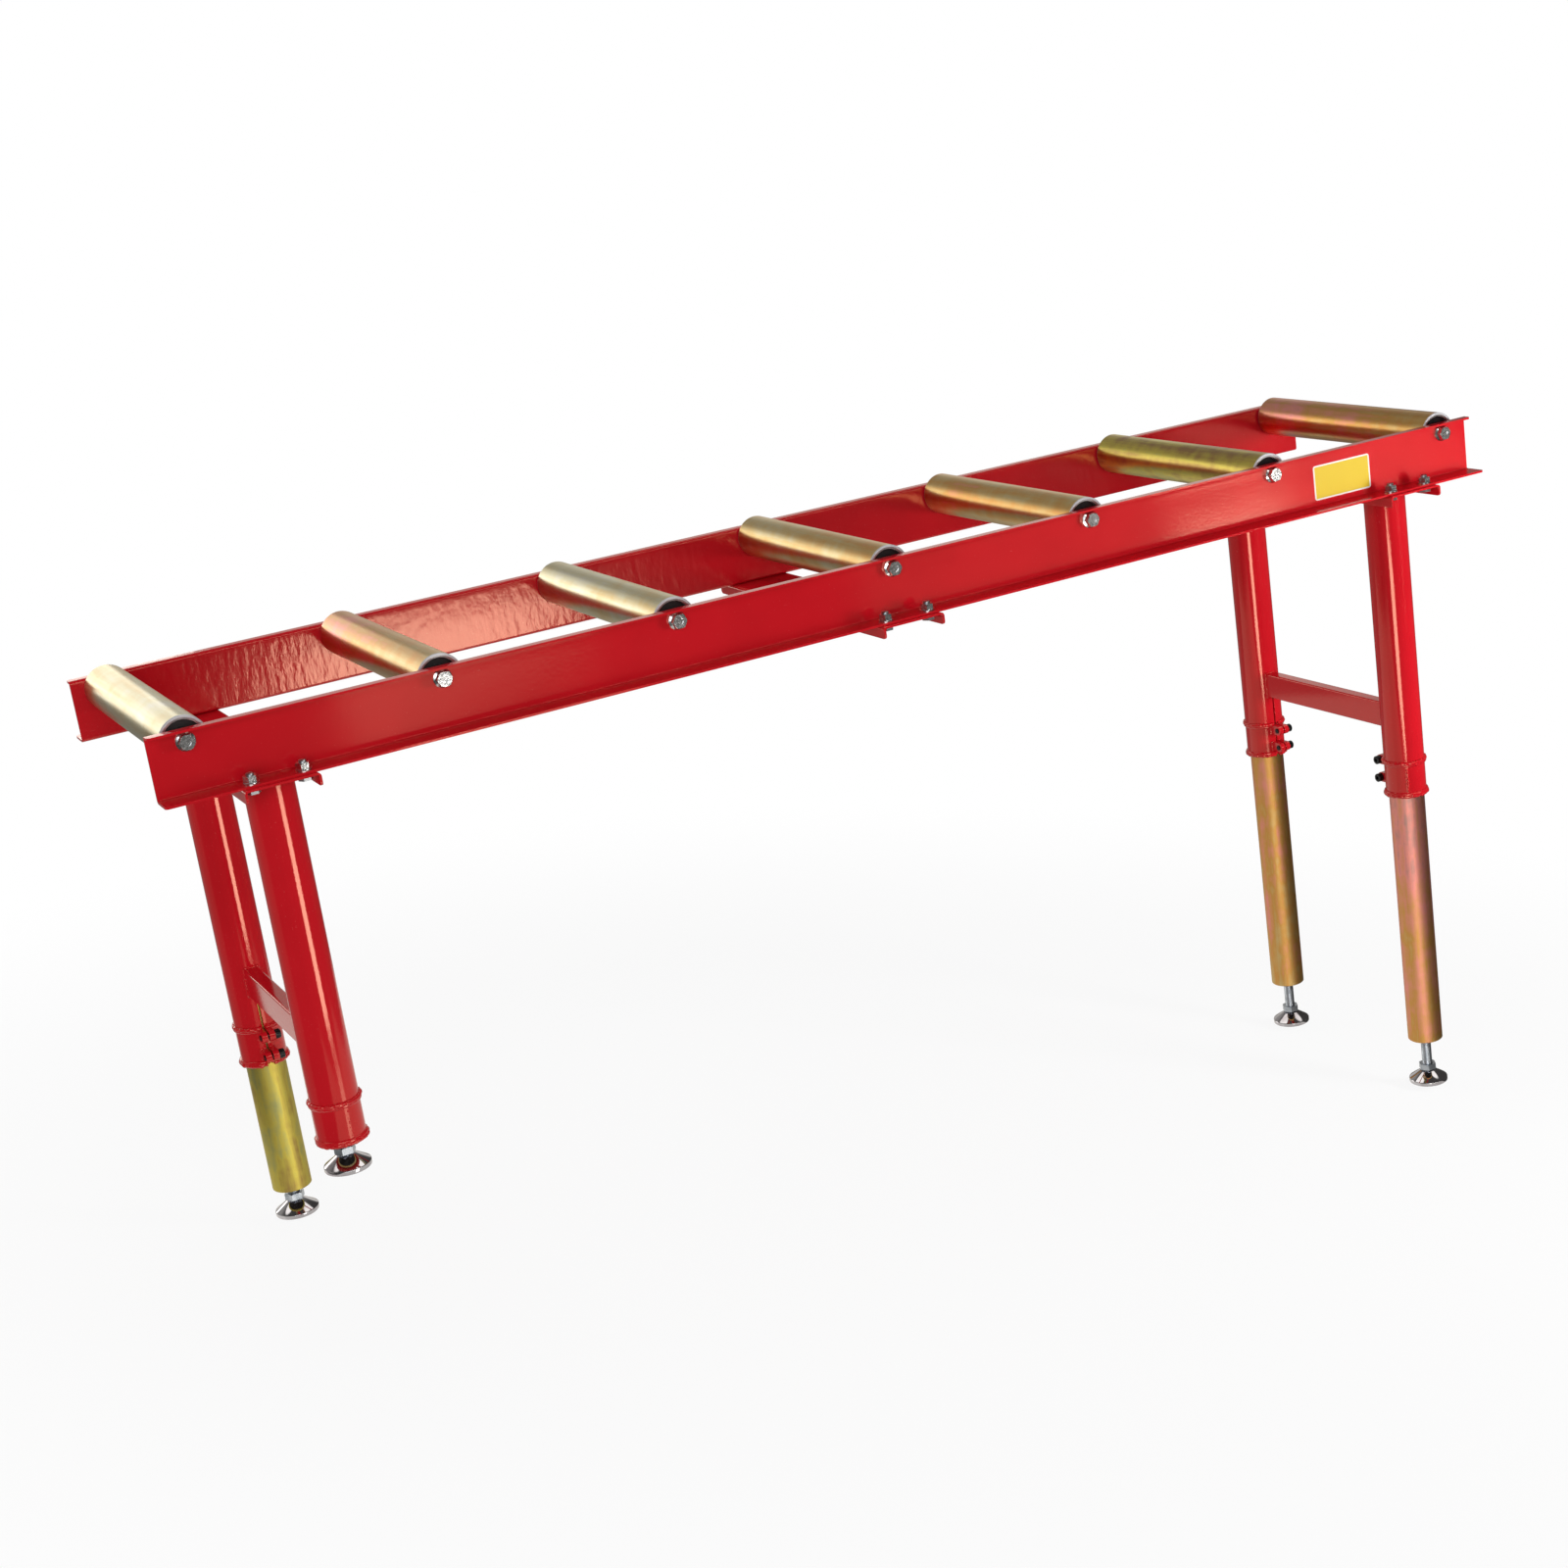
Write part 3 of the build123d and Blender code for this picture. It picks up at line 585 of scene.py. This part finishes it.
ZINC = (0.50, 0.54, 0.60, 1.0)
ZINC_DULL = (0.34, 0.38, 0.43, 1.0)
# The plug's two near-black colours are painted shade, not the steel's own colour: the plug in the
# tube's lower end shows dark as if in shadow.
PLUG_SHADE_BLACK = (0.050, 0.045, 0.042, 1.0)
PLUG_SHADE_BLACK_DULL = (0.030, 0.026, 0.024, 1.0)
CHROME = (0.57, 0.56, 0.60, 1.0)
CHROME_STAINED = (0.40, 0.37, 0.40, 1.0)
DULL_STEP = (0.40, 0.70)
DULL_ROUGHNESS = 0.10
TURNED_SIDES = 96
TURNED_SHARP = math.radians(24)
FOOT_RIM_RADIUS = 0.030
FOOT_RIM_HEIGHT = 0.006
FOOT_HEIGHT = 0.018
FOOT_TOP_RADIUS = 0.012
FOOT_EDGE = 0.0010
SOCKET_RADIUS = 0.00915
SOCKET_POINTS = 18
BALL_RADIUS = 0.009
BALL_HEIGHT = 0.012
BALL_POINTS = 20
NECK_RADIUS = 0.005
NECK_TOP = 0.0215
SPINDLE_START = 0.0205
SPINDLE_LENGTH = 0.105
THREAD_CORE = 0.0073
THREAD_CREST = 0.0080
THREAD_PITCH = 0.0020
THREAD_SIDES = 28
THREAD_MERGE = 0.000002
ROWS_TO_A_TURN = 8
CLOSING_ROWS = 3


def metal(name, bright, dull, roughness, size, dents=0.0):
    """Plated metal with duller clouds, and shallow dents where it was forged."""
    material = bpy.data.materials.new(name)
    look = Look(material)
    place = look.place()
    clouds = look.ramp(look.noise(place, size, detail=3.0), *DULL_STEP)
    forged = {"Normal": look.bump(look.noise(place, size, detail=1.0), dents)} if dents else {}
    look.surface(
        Base_Color=look.mix(clouds, bright, dull),
        Metallic=1.0,
        Roughness=roughness + DULL_ROUGHNESS * clouds,
        **forged,
    )
    return material


def turned(name, outline, place, material, body, node):
    """A lathe piece: an outline of radius and height, from pole to pole, turned about a place."""
    x, y, z = place
    turns = [math.tau * step / TURNED_SIDES for step in range(TURNED_SIDES)]
    rings = [
        [(x + radius * math.cos(turn), y + radius * math.sin(turn), z + height) for turn in turns]
        for radius, height in outline[1:-1]
    ]
    first_pole = (x, y, z + outline[0][1])
    last_pole = (x, y, z + outline[-1][1])
    corners = [first_pole, *[corner for ring in rings for corner in ring], last_pole]
    faces = []
    for step in range(TURNED_SIDES):
        here, beside = 1 + step, 1 + (step + 1) % TURNED_SIDES
        faces.append((0, beside, here))
        for _ in rings[1:]:
            above, above_beside = here + TURNED_SIDES, beside + TURNED_SIDES
            faces.append((here, beside, above_beside, above))
            here, beside = above, above_beside
        faces.append((here, beside, len(corners) - 1))
    mesh = bpy.data.meshes.new(name)
    mesh.from_pydata(corners, [], faces)
    mesh.shade_smooth()
    mesh.set_sharp_from_angle(angle=TURNED_SHARP)
    mesh.materials.append(material)
    piece = bpy.data.objects.new(name, mesh)
    bpy.context.scene.collection.objects.link(piece)
    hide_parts(node)
    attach(piece, body)


def arc(radius, height, start, end, count):
    """Points of radius and height on an arc in an outline, between two angles above the level."""
    turns = [math.radians(start + (end - start) * step / (count - 1)) for step in range(count)]
    return [(radius * math.cos(turn), height + radius * math.sin(turn)) for turn in turns]


thread_inputs = {
    "Base": "Vector",
    "Core Radius": "Float",
    "Crest Radius": "Float",
    "Pitch": "Float",
    "Length": "Float",
    "Sides": "Int",
    "Rows": "Int",
}
thread = Tree("thread", thread_inputs)
core = thread.given("Core Radius")
rows = thread.given("Rows")
inputs = {"Size X": 1.0, "Size Y": 1.0, "Vertices X": thread.given("Sides") + 1, "Vertices Y": rows}
sheet = thread.add("GeometryNodeMeshGrid", inputs=inputs)
share, row, _ = thread.axes(thread.add("GeometryNodeInputPosition"))
share = share + 0.5
row = (row + 0.5) * (rows - 1)
climb = ((row - 1) / (rows - CLOSING_ROWS)).math("MAXIMUM", 0.0).math("MINIMUM", 1.0)
climb = climb * thread.given("Length")
flank = ((climb / thread.given("Pitch") - share).math("FRACT") * 2 - 1).math("ABSOLUTE")
radius = core + (thread.given("Crest Radius") - core) * flank
radius = radius * row.math("GREATER_THAN", 0.5) * row.math("LESS_THAN", rows - 1.5)
turn = share * math.tau
inputs = {"X": radius * turn.math("COSINE"), "Y": radius * turn.math("SINE"), "Z": climb}
spiral = thread.add("ShaderNodeCombineXYZ", inputs=inputs)
spiral = thread.vector("ADD", {0: spiral, 1: thread.given("Base")})
wound = thread.add("GeometryNodeSetPosition", inputs={"Geometry": sheet, "Position": spiral})
inputs = {"Geometry": wound, "Distance": THREAD_MERGE}
thread.finish(thread.add("GeometryNodeMergeByDistance", inputs=inputs))

opening = math.degrees(math.asin((FOOT_HEIGHT - BALL_HEIGHT) / SOCKET_RADIUS))
# Points that stand off by parts of FOOT_EDGE round the edges of the rim and of the top.
foot_outline = [
    (0.0, 0.0),
    (FOOT_RIM_RADIUS - FOOT_EDGE, 0.0),
    (FOOT_RIM_RADIUS - FOOT_EDGE * 0.3, FOOT_EDGE * 0.3),
    (FOOT_RIM_RADIUS, FOOT_EDGE),
    (FOOT_RIM_RADIUS, FOOT_RIM_HEIGHT - FOOT_EDGE * 0.5),
    (FOOT_RIM_RADIUS - FOOT_EDGE * 0.2, FOOT_RIM_HEIGHT - FOOT_EDGE * 0.1),
    (FOOT_RIM_RADIUS - FOOT_EDGE * 0.8, FOOT_RIM_HEIGHT + FOOT_EDGE * 0.4),
    (FOOT_TOP_RADIUS + FOOT_EDGE * 0.4, FOOT_HEIGHT - FOOT_EDGE * 0.3),
    (FOOT_TOP_RADIUS - FOOT_EDGE * 0.2, FOOT_HEIGHT),
    *arc(SOCKET_RADIUS, BALL_HEIGHT, opening, -90.0, SOCKET_POINTS)[:-1],
    (0.0, BALL_HEIGHT - SOCKET_RADIUS),
]
neck_angle = math.degrees(math.acos(NECK_RADIUS / BALL_RADIUS))
ball_outline = [
    (0.0, BALL_HEIGHT - BALL_RADIUS),
    *arc(BALL_RADIUS, BALL_HEIGHT, -90.0, neck_angle, BALL_POINTS)[1:],
    (NECK_RADIUS, NECK_TOP),
    (0.0, NECK_TOP),
]
thread_sizes = {
    "Core Radius": THREAD_CORE,
    "Crest Radius": THREAD_CREST,
    "Pitch": THREAD_PITCH,
    "Length": SPINDLE_LENGTH,
    "Sides": THREAD_SIDES,
    "Rows": round(SPINDLE_LENGTH / THREAD_PITCH * ROWS_TO_A_TURN) + CLOSING_ROWS,
}

spindle_zinc = metal("blue_zinc", ZINC, ZINC_DULL, roughness=0.30, size=0.01)
# The plug's near-black metal is painted shade, so that its underside shows dark in the chromed
# foot.
plug_painted_shade = metal("plug_painted_shade", PLUG_SHADE_BLACK, PLUG_SHADE_BLACK_DULL, roughness=0.50, size=0.01)
foot_chrome = metal("foot_chrome", CHROME, CHROME_STAINED, roughness=0.06, size=0.03)

for leg in LEGS:
    low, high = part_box(leg + "_foot")
    foot = ((low[0] + high[0]) / 2, (low[1] + high[1]) / 2, low[2])
    foot_body = leg + "_foot_plate"
    screw_body = leg + "_levelling_screw"
    turned(
        leg + "_turned_foot",
        foot_outline,
        foot,
        foot_chrome,
        foot_body,
        leg + "_foot",
    )
    turned(
        leg + "_ball",
        ball_outline,
        foot,
        spindle_zinc,
        screw_body,
        leg + "_spindle",
    )
    start = bpy.data.meshes.new(leg + "_thread_start")
    sizes = {**thread_sizes, "Base": (foot[0], foot[1], foot[2] + SPINDLE_START)}
    grown(leg + "_thread", thread, start, sizes, spindle_zinc, screw_body)
    dressed(leg + "_foot_nut", spindle_zinc)
    dressed(leg + "_tube_plug", plug_painted_shade)

# The rollers
# Plated tubes that turn on fixed axles, each end closed by a bearing cup with a black seal.

ALONG_ROLLER = (1.0, 0.06, 1.0)
ROLLER_FILMS = [
    (0.15, 0.19),
    (0.30, 0.46),
    (0.19, 0.14),
    (0.30, 0.27),
    (0.31, 0.37),
    (0.94, 0.90),
    (0.38, 0.47),
]
SEAL_BLACK = (0.010, 0.010, 0.011, 1.0)
SEAL_ROUGHNESS = 0.45
RACE_STEEL = (0.55, 0.56, 0.58, 1.0)
RACE_ROUGHNESS = 0.30
CUP_RIM_RADIUS = 0.0243
CUP_RIM_BLUR = 0.0001
AXLE_STEEL = (0.30, 0.30, 0.31, 1.0)
AXLE_STEEL_DULL = (0.16, 0.16, 0.17, 1.0)

for number, film in enumerate(ROLLER_FILMS, start=1):
    low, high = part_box(f"roller_tube_{number}")
    along = (1, low[1], high[1])
    roller_plating = plating(f"roller_plating_{number}", film, along, ALONG_ROLLER, cut=high[1])
    dressed(f"roller_tube_{number}", roller_plating)

    low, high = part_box(f"roller_bearings_{number}")
    bearing = bpy.data.materials.new(f"bearing_{number}")
    look = Look(bearing)
    x, y, z = look.axes(look.place())
    x = x - (low[0] + high[0]) / 2
    z = z - (low[2] + high[2]) / 2
    radius = (x * x + z * z).math("SQRT")
    rim = look.ramp(radius, CUP_RIM_RADIUS - CUP_RIM_BLUR, CUP_RIM_RADIUS + CUP_RIM_BLUR)
    look.surface(
        Base_Color=look.mix(rim, SEAL_BLACK, RACE_STEEL),
        Metallic=rim,
        Roughness=SEAL_ROUGHNESS + (RACE_ROUGHNESS - SEAL_ROUGHNESS) * rim,
    )
    dressed(f"roller_bearings_{number}", bearing)

axle_steel = metal("axle_steel", AXLE_STEEL, AXLE_STEEL_DULL, roughness=0.35, size=0.02)
dressed("roller_axles", axle_steel)

# The bolts, washers and nuts
# Bright zinc-plated fasteners: flanged bolts through the rails into the axles, and bolts with
# washers and nuts through the flanges of the rails and the channels under them.

BOLT_ZINC = (0.74, 0.75, 0.77, 1.0)
# The duller colour below serves the bright zinc's duller clouds, and also the painted shade of the
# frame bolts.
BOLT_ZINC_DULL = (0.42, 0.43, 0.45, 1.0)
BOLT_CLOUDS = 0.0035
BOLT_DENTS = 0.00015

bright_zinc = metal(
    "bright_zinc", BOLT_ZINC, BOLT_ZINC_DULL, roughness=0.16, size=BOLT_CLOUDS, dents=BOLT_DENTS
)
for node in ("roller_bolts", "frame_washers", "frame_nuts"):
    dressed(node, bright_zinc)
# The frame bolts get a darker copy of the bolt zinc: painted shade, for the shade they sit in under
# the channel webs.
frame_bolt_painted_shade = metal("frame_bolt_shaded_zinc", BOLT_ZINC_DULL, ZINC_DULL, roughness=0.30, size=BOLT_CLOUDS)
dressed("frame_bolts", frame_bolt_painted_shade)

# The label
# A bare yellow film with a white border, stuck on the near rail.

LABEL_YELLOW = (0.70, 0.495, 0.012, 1.0)
LABEL_WHITE = (0.86, 0.85, 0.82, 1.0)
LABEL_ROUGHNESS = 0.35
LABEL_BORDER = 0.0022
BORDER_BLUR = 0.0002

low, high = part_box("blank_label")
label_film = bpy.data.materials.new("label_film")
look = Look(label_film)
x, y, z = look.axes(look.place())
side = (high[0] - low[0]) / 2 - (x - (low[0] + high[0]) / 2).math("ABSOLUTE")
rise = (high[2] - low[2]) / 2 - (z - (low[2] + high[2]) / 2).math("ABSOLUTE")
edge = side.math("MINIMUM", rise)
inside = look.ramp(edge, LABEL_BORDER - BORDER_BLUR, LABEL_BORDER + BORDER_BLUR)
look.surface(
    Base_Color=look.mix(inside, LABEL_WHITE, LABEL_YELLOW),
    Roughness=LABEL_ROUGHNESS,
)
dressed("blank_label", label_film)

# The floor
# A pale studio floor that slopes as the three standing feet need it, whiter further off.
# It is a thin veil before the white room, so that a leg slid out past it stays in sight.

FLOOR_RADIUS = 3.0
FLOOR_SIDES = 96
FLOOR_PALE = (0.86, 0.86, 0.86, 1.0)
FLOOR_FADE = (0.9, 2.4)
FLOOR_CLEARNESS = 0.90
CLEAR = (1.0, 1.0, 1.0, 1.0)

left_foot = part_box("far_left_foot")[0]
right_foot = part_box("far_right_foot")[0]
slope = math.atan2(left_foot[2] - right_foot[2], right_foot[0] - left_foot[0])
slant = Matrix.Rotation(slope, 4, "Y")
floor_up = slant @ Vector((0.0, 0.0, 1.0))
feet_middle = Vector(((right_foot[0] + left_foot[0]) / 2, 0.0, (right_foot[2] + left_foot[2]) / 2))

# The level feet keep clear of the slope by the height that it falls across one foot.
fall = 2 * FOOT_RIM_RADIUS * math.sin(slope)
floor_middle = feet_middle - floor_up * fall

work = bmesh.new()
bmesh.ops.create_circle(work, cap_ends=True, segments=FLOOR_SIDES, radius=FLOOR_RADIUS)
work.transform(Matrix.Translation(floor_middle) @ slant)
floor_mesh = bpy.data.meshes.new("floor")
work.to_mesh(floor_mesh)
work.free()

floor_white = bpy.data.materials.new("floor_white")
look = Look(floor_white)
distance = look.vector("LENGTH", {0: look.place()}, "Value")
away = look.ramp(distance, *FLOOR_FADE)
pale = look.add("ShaderNodeBsdfDiffuse", inputs={"Color": FLOOR_PALE})
clear = look.add("ShaderNodeBsdfTransparent", inputs={"Color": CLEAR})
clearness = FLOOR_CLEARNESS + (1.0 - FLOOR_CLEARNESS) * away
veil = look.add("ShaderNodeMixShader", inputs={0: clearness, 1: pale, 2: clear})
look.add("ShaderNodeOutputMaterial", inputs={"Surface": veil})
floor_mesh.materials.append(floor_white)

floor = bpy.data.objects.new("floor", floor_mesh)
bpy.context.scene.collection.objects.link(floor)
for ray in ("diffuse", "glossy", "transmission", "shadow"):
    setattr(floor, "visible_" + ray, False)

# The light
# Soft lamps light the near side and the top of the bed from the front, the left and the right.
# Polished pieces mirror a dim room, with white screens behind the left end and softboxes in front.

ROOM_DIFFUSE = 0.42
ROOM_OVERHEAD = 0.55
ROOM_DARK = 0.07
BEHIND_STEP = (-0.05, 0.12)
HORIZON_STEP = (-0.04, 0.02)
WALL_STEP = (0.26, 0.40)
HIGH_STEP = (0.55, 0.80)
OVERHEAD_STEP = (0.0, 0.7)
RIGHT_STEP = (0.10, 0.50)
ASIDE_STEP = (0.56, 0.68)
WALL_LEFT = 0.48
WALL_RIGHT = 0.82
HIGH_WALL = 0.31
LOW_WALL = 0.16
HIGH_SCREENS = [(0.462, 0.082, 0.883), (-0.249, 0.398, 0.883)]
HIGH_SCREEN_STEP = (0.960, 0.972)
HIGH_SCREEN_WHITE = 1.5
WHITE = (1.0, 1.0, 1.0, 1.0)
WARM = (1.0, 0.96, 0.88, 1.0)
LIT = ("diffuse",)
MIRRORED = ("glossy",)

world = bpy.data.worlds.new("studio")
world.cycles.sampling_method = "NONE"
bpy.context.scene.world = world
look = Look(world)
way = look.add("ShaderNodeTexCoord", output="Generated")
x, y, z = look.axes(way)
up = look.ramp(z, *HORIZON_STEP)
wall_top = look.ramp(z, *WALL_STEP)
right = look.ramp(x, *RIGHT_STEP)
wall = up * (1.0 - wall_top) * (WALL_LEFT + (WALL_RIGHT - WALL_LEFT) * right)
high_wall = wall_top * (1.0 - look.ramp(z, *HIGH_STEP)) * HIGH_WALL
low_wall = (1.0 - up) * LOW_WALL
screen = look.ramp(y, *BEHIND_STEP) * (1.0 - look.ramp(x, *ASIDE_STEP))
mirrored = ROOM_DARK + screen * (wall + high_wall + low_wall)
for high_screen in HIGH_SCREENS:
    facing = look.vector("DOT_PRODUCT", {0: way, 1: high_screen}, "Value")
    mirrored = mirrored + HIGH_SCREEN_WHITE * look.ramp(facing, *HIGH_SCREEN_STEP)
overhead = 1.0 - (1.0 - ROOM_OVERHEAD) * look.ramp(z, *OVERHEAD_STEP)
seen = look.add("ShaderNodeLightPath", output="Is Camera Ray")
soft = look.add("ShaderNodeLightPath", output="Is Diffuse Ray")
strength = seen + ROOM_DIFFUSE * overhead * soft + mirrored * (1.0 - seen) * (1.0 - soft)
colour = look.mix(seen + soft, WARM, WHITE)
background = look.add("ShaderNodeBackground", inputs={"Color": colour, "Strength": strength})
look.add("ShaderNodeOutputWorld", inputs={"Surface": background})


def softbox(name, place, towards, width, height, radiance, rays, lean=0.0):
    """A rectangular lamp that faces a point, given by its radiance, for some kinds of rays only."""
    lamp = bpy.data.lights.new(name, "AREA")
    lamp.shape = "RECTANGLE"
    lamp.size = width
    lamp.size_y = height
    lamp.energy = radiance * width * height * math.pi
    lamp.color = WHITE[:3] if "diffuse" in rays else WARM[:3]
    box = bpy.data.objects.new(name, lamp)
    box.location = place
    facing = (Vector(towards) - Vector(place)).to_track_quat("-Z", "Y")
    box.rotation_euler = (facing @ Quaternion((0.0, 0.0, 1.0), lean)).to_euler()
    box.visible_camera = False
    for ray in ("diffuse", "glossy"):
        setattr(box, "visible_" + ray, ray in rays)
    bpy.context.scene.collection.objects.link(box)


softbox(
    "right_softbox",
    place=(1.75, -1.45, 0.85),
    towards=(0.60, 0.0, 0.90),
    width=0.50,
    height=0.80,
    radiance=20.5,
    rays=LIT,
)
softbox(
    "front_fill",
    place=(-1.8, -3.0, 1.7),
    towards=(-0.4, 0.0, 0.8),
    width=2.0,
    height=2.0,
    radiance=2.8,
    rays=LIT + MIRRORED,
)
softbox(
    "left_fill",
    place=(-3.6, -0.8, 1.3),
    towards=(-0.8, 0.0, 0.8),
    width=1.6,
    height=1.6,
    radiance=1.5,
    rays=LIT,
)
softbox(
    "top_fill",
    place=(-0.8, 0.4, 3.0),
    towards=(-0.4, 0.0, 1.0),
    width=1.8,
    height=1.5,
    radiance=1.8,
    rays=LIT,
)

# Three that lean with the floor, for the bright stripes down the painted legs.
softbox(
    "tall_softbox",
    place=(-0.09, -1.70, 0.29),
    towards=(-0.09, -0.70, 0.29),
    width=0.62,
    height=0.50,
    radiance=9.5,
    rays=MIRRORED,
    lean=-slope,
)
softbox(
    "low_softbox",
    place=(-0.05, -1.70, -0.48),
    towards=(-0.05, -0.70, -0.48),
    width=0.62,
    height=0.84,
    radiance=2.6,
    rays=MIRRORED,
    lean=-slope,
)
softbox(
    "softbox_rim",
    place=(-0.12, -1.70, 0.64),
    towards=(-0.12, -0.70, 0.64),
    width=0.50,
    height=0.13,
    radiance=0.9,
    rays=MIRRORED,
    lean=-slope,
)

# The glow on the right part of the near rail, and the thin lines on edges, bends and bolts.
softbox(
    "right_glow",
    place=(1.74, -1.87, 0.745),
    towards=(1.74, -0.87, 0.745),
    width=0.30,
    height=0.14,
    radiance=7.5,
    rays=MIRRORED,
)
softbox(
    "right_spill",
    place=(1.75, -1.87, 0.86),
    towards=(1.75, -0.87, 0.86),
    width=1.90,
    height=0.50,
    radiance=0.3,
    rays=MIRRORED,
)
softbox(
    "front_strip",
    place=(0.4, -3.0, 2.4),
    towards=(0.2, 0.0, 0.9),
    width=3.0,
    height=0.45,
    radiance=5.0,
    rays=MIRRORED,
)

# The screens that the far rail mirrors on its inner face, and the pale floor under the conveyor.
softbox(
    "back_screen",
    place=(-1.15, 3.0, 1.525),
    towards=(-1.15, 0.0, 1.525),
    width=1.7,
    height=1.35,
    radiance=1.45,
    rays=MIRRORED,
)
softbox(
    "horizon_screen",
    place=(-1.15, 2.9, 1.225),
    towards=(-1.15, 0.0, 1.225),
    width=1.7,
    height=0.55,
    radiance=1.5,
    rays=MIRRORED,
)
sheet_place = floor_middle + Vector((-0.08, 0.10, 0.0))
softbox(
    "floor_sheet",
    place=sheet_place,
    towards=sheet_place + floor_up,
    width=2.55,
    height=2.1,
    radiance=0.62,
    rays=MIRRORED,
)

# The camera
# It stands before the left end of the bed, a little above it, and leans as the photograph does.

CAMERA_PLACE = (-1.5396, -3.0984, 1.7086)
CAMERA_TURN = (73.736, 7.529, -29.331)
PHOTO_WIDTH = 1600
FOCAL_PIXELS = 2554.56
CENTRE_PIXELS = (898.76, 784.02)
SENSOR_WIDTH = 36.0
FARTHEST = 50.0

camera_data = bpy.data.cameras.new("camera")
camera_data.sensor_fit = "HORIZONTAL"
camera_data.sensor_width = SENSOR_WIDTH
camera_data.lens = FOCAL_PIXELS / PHOTO_WIDTH * SENSOR_WIDTH
camera_data.shift_x = (PHOTO_WIDTH / 2 - CENTRE_PIXELS[0]) / PHOTO_WIDTH
camera_data.shift_y = (CENTRE_PIXELS[1] - PHOTO_WIDTH / 2) / PHOTO_WIDTH
camera_data.clip_end = FARTHEST
camera = bpy.data.objects.new("camera", camera_data)
camera.location = CAMERA_PLACE
camera.rotation_euler = [math.radians(turn) for turn in CAMERA_TURN]
bpy.context.scene.collection.objects.link(camera)
bpy.context.scene.camera = camera

bpy.context.scene.view_settings.view_transform = "Standard"
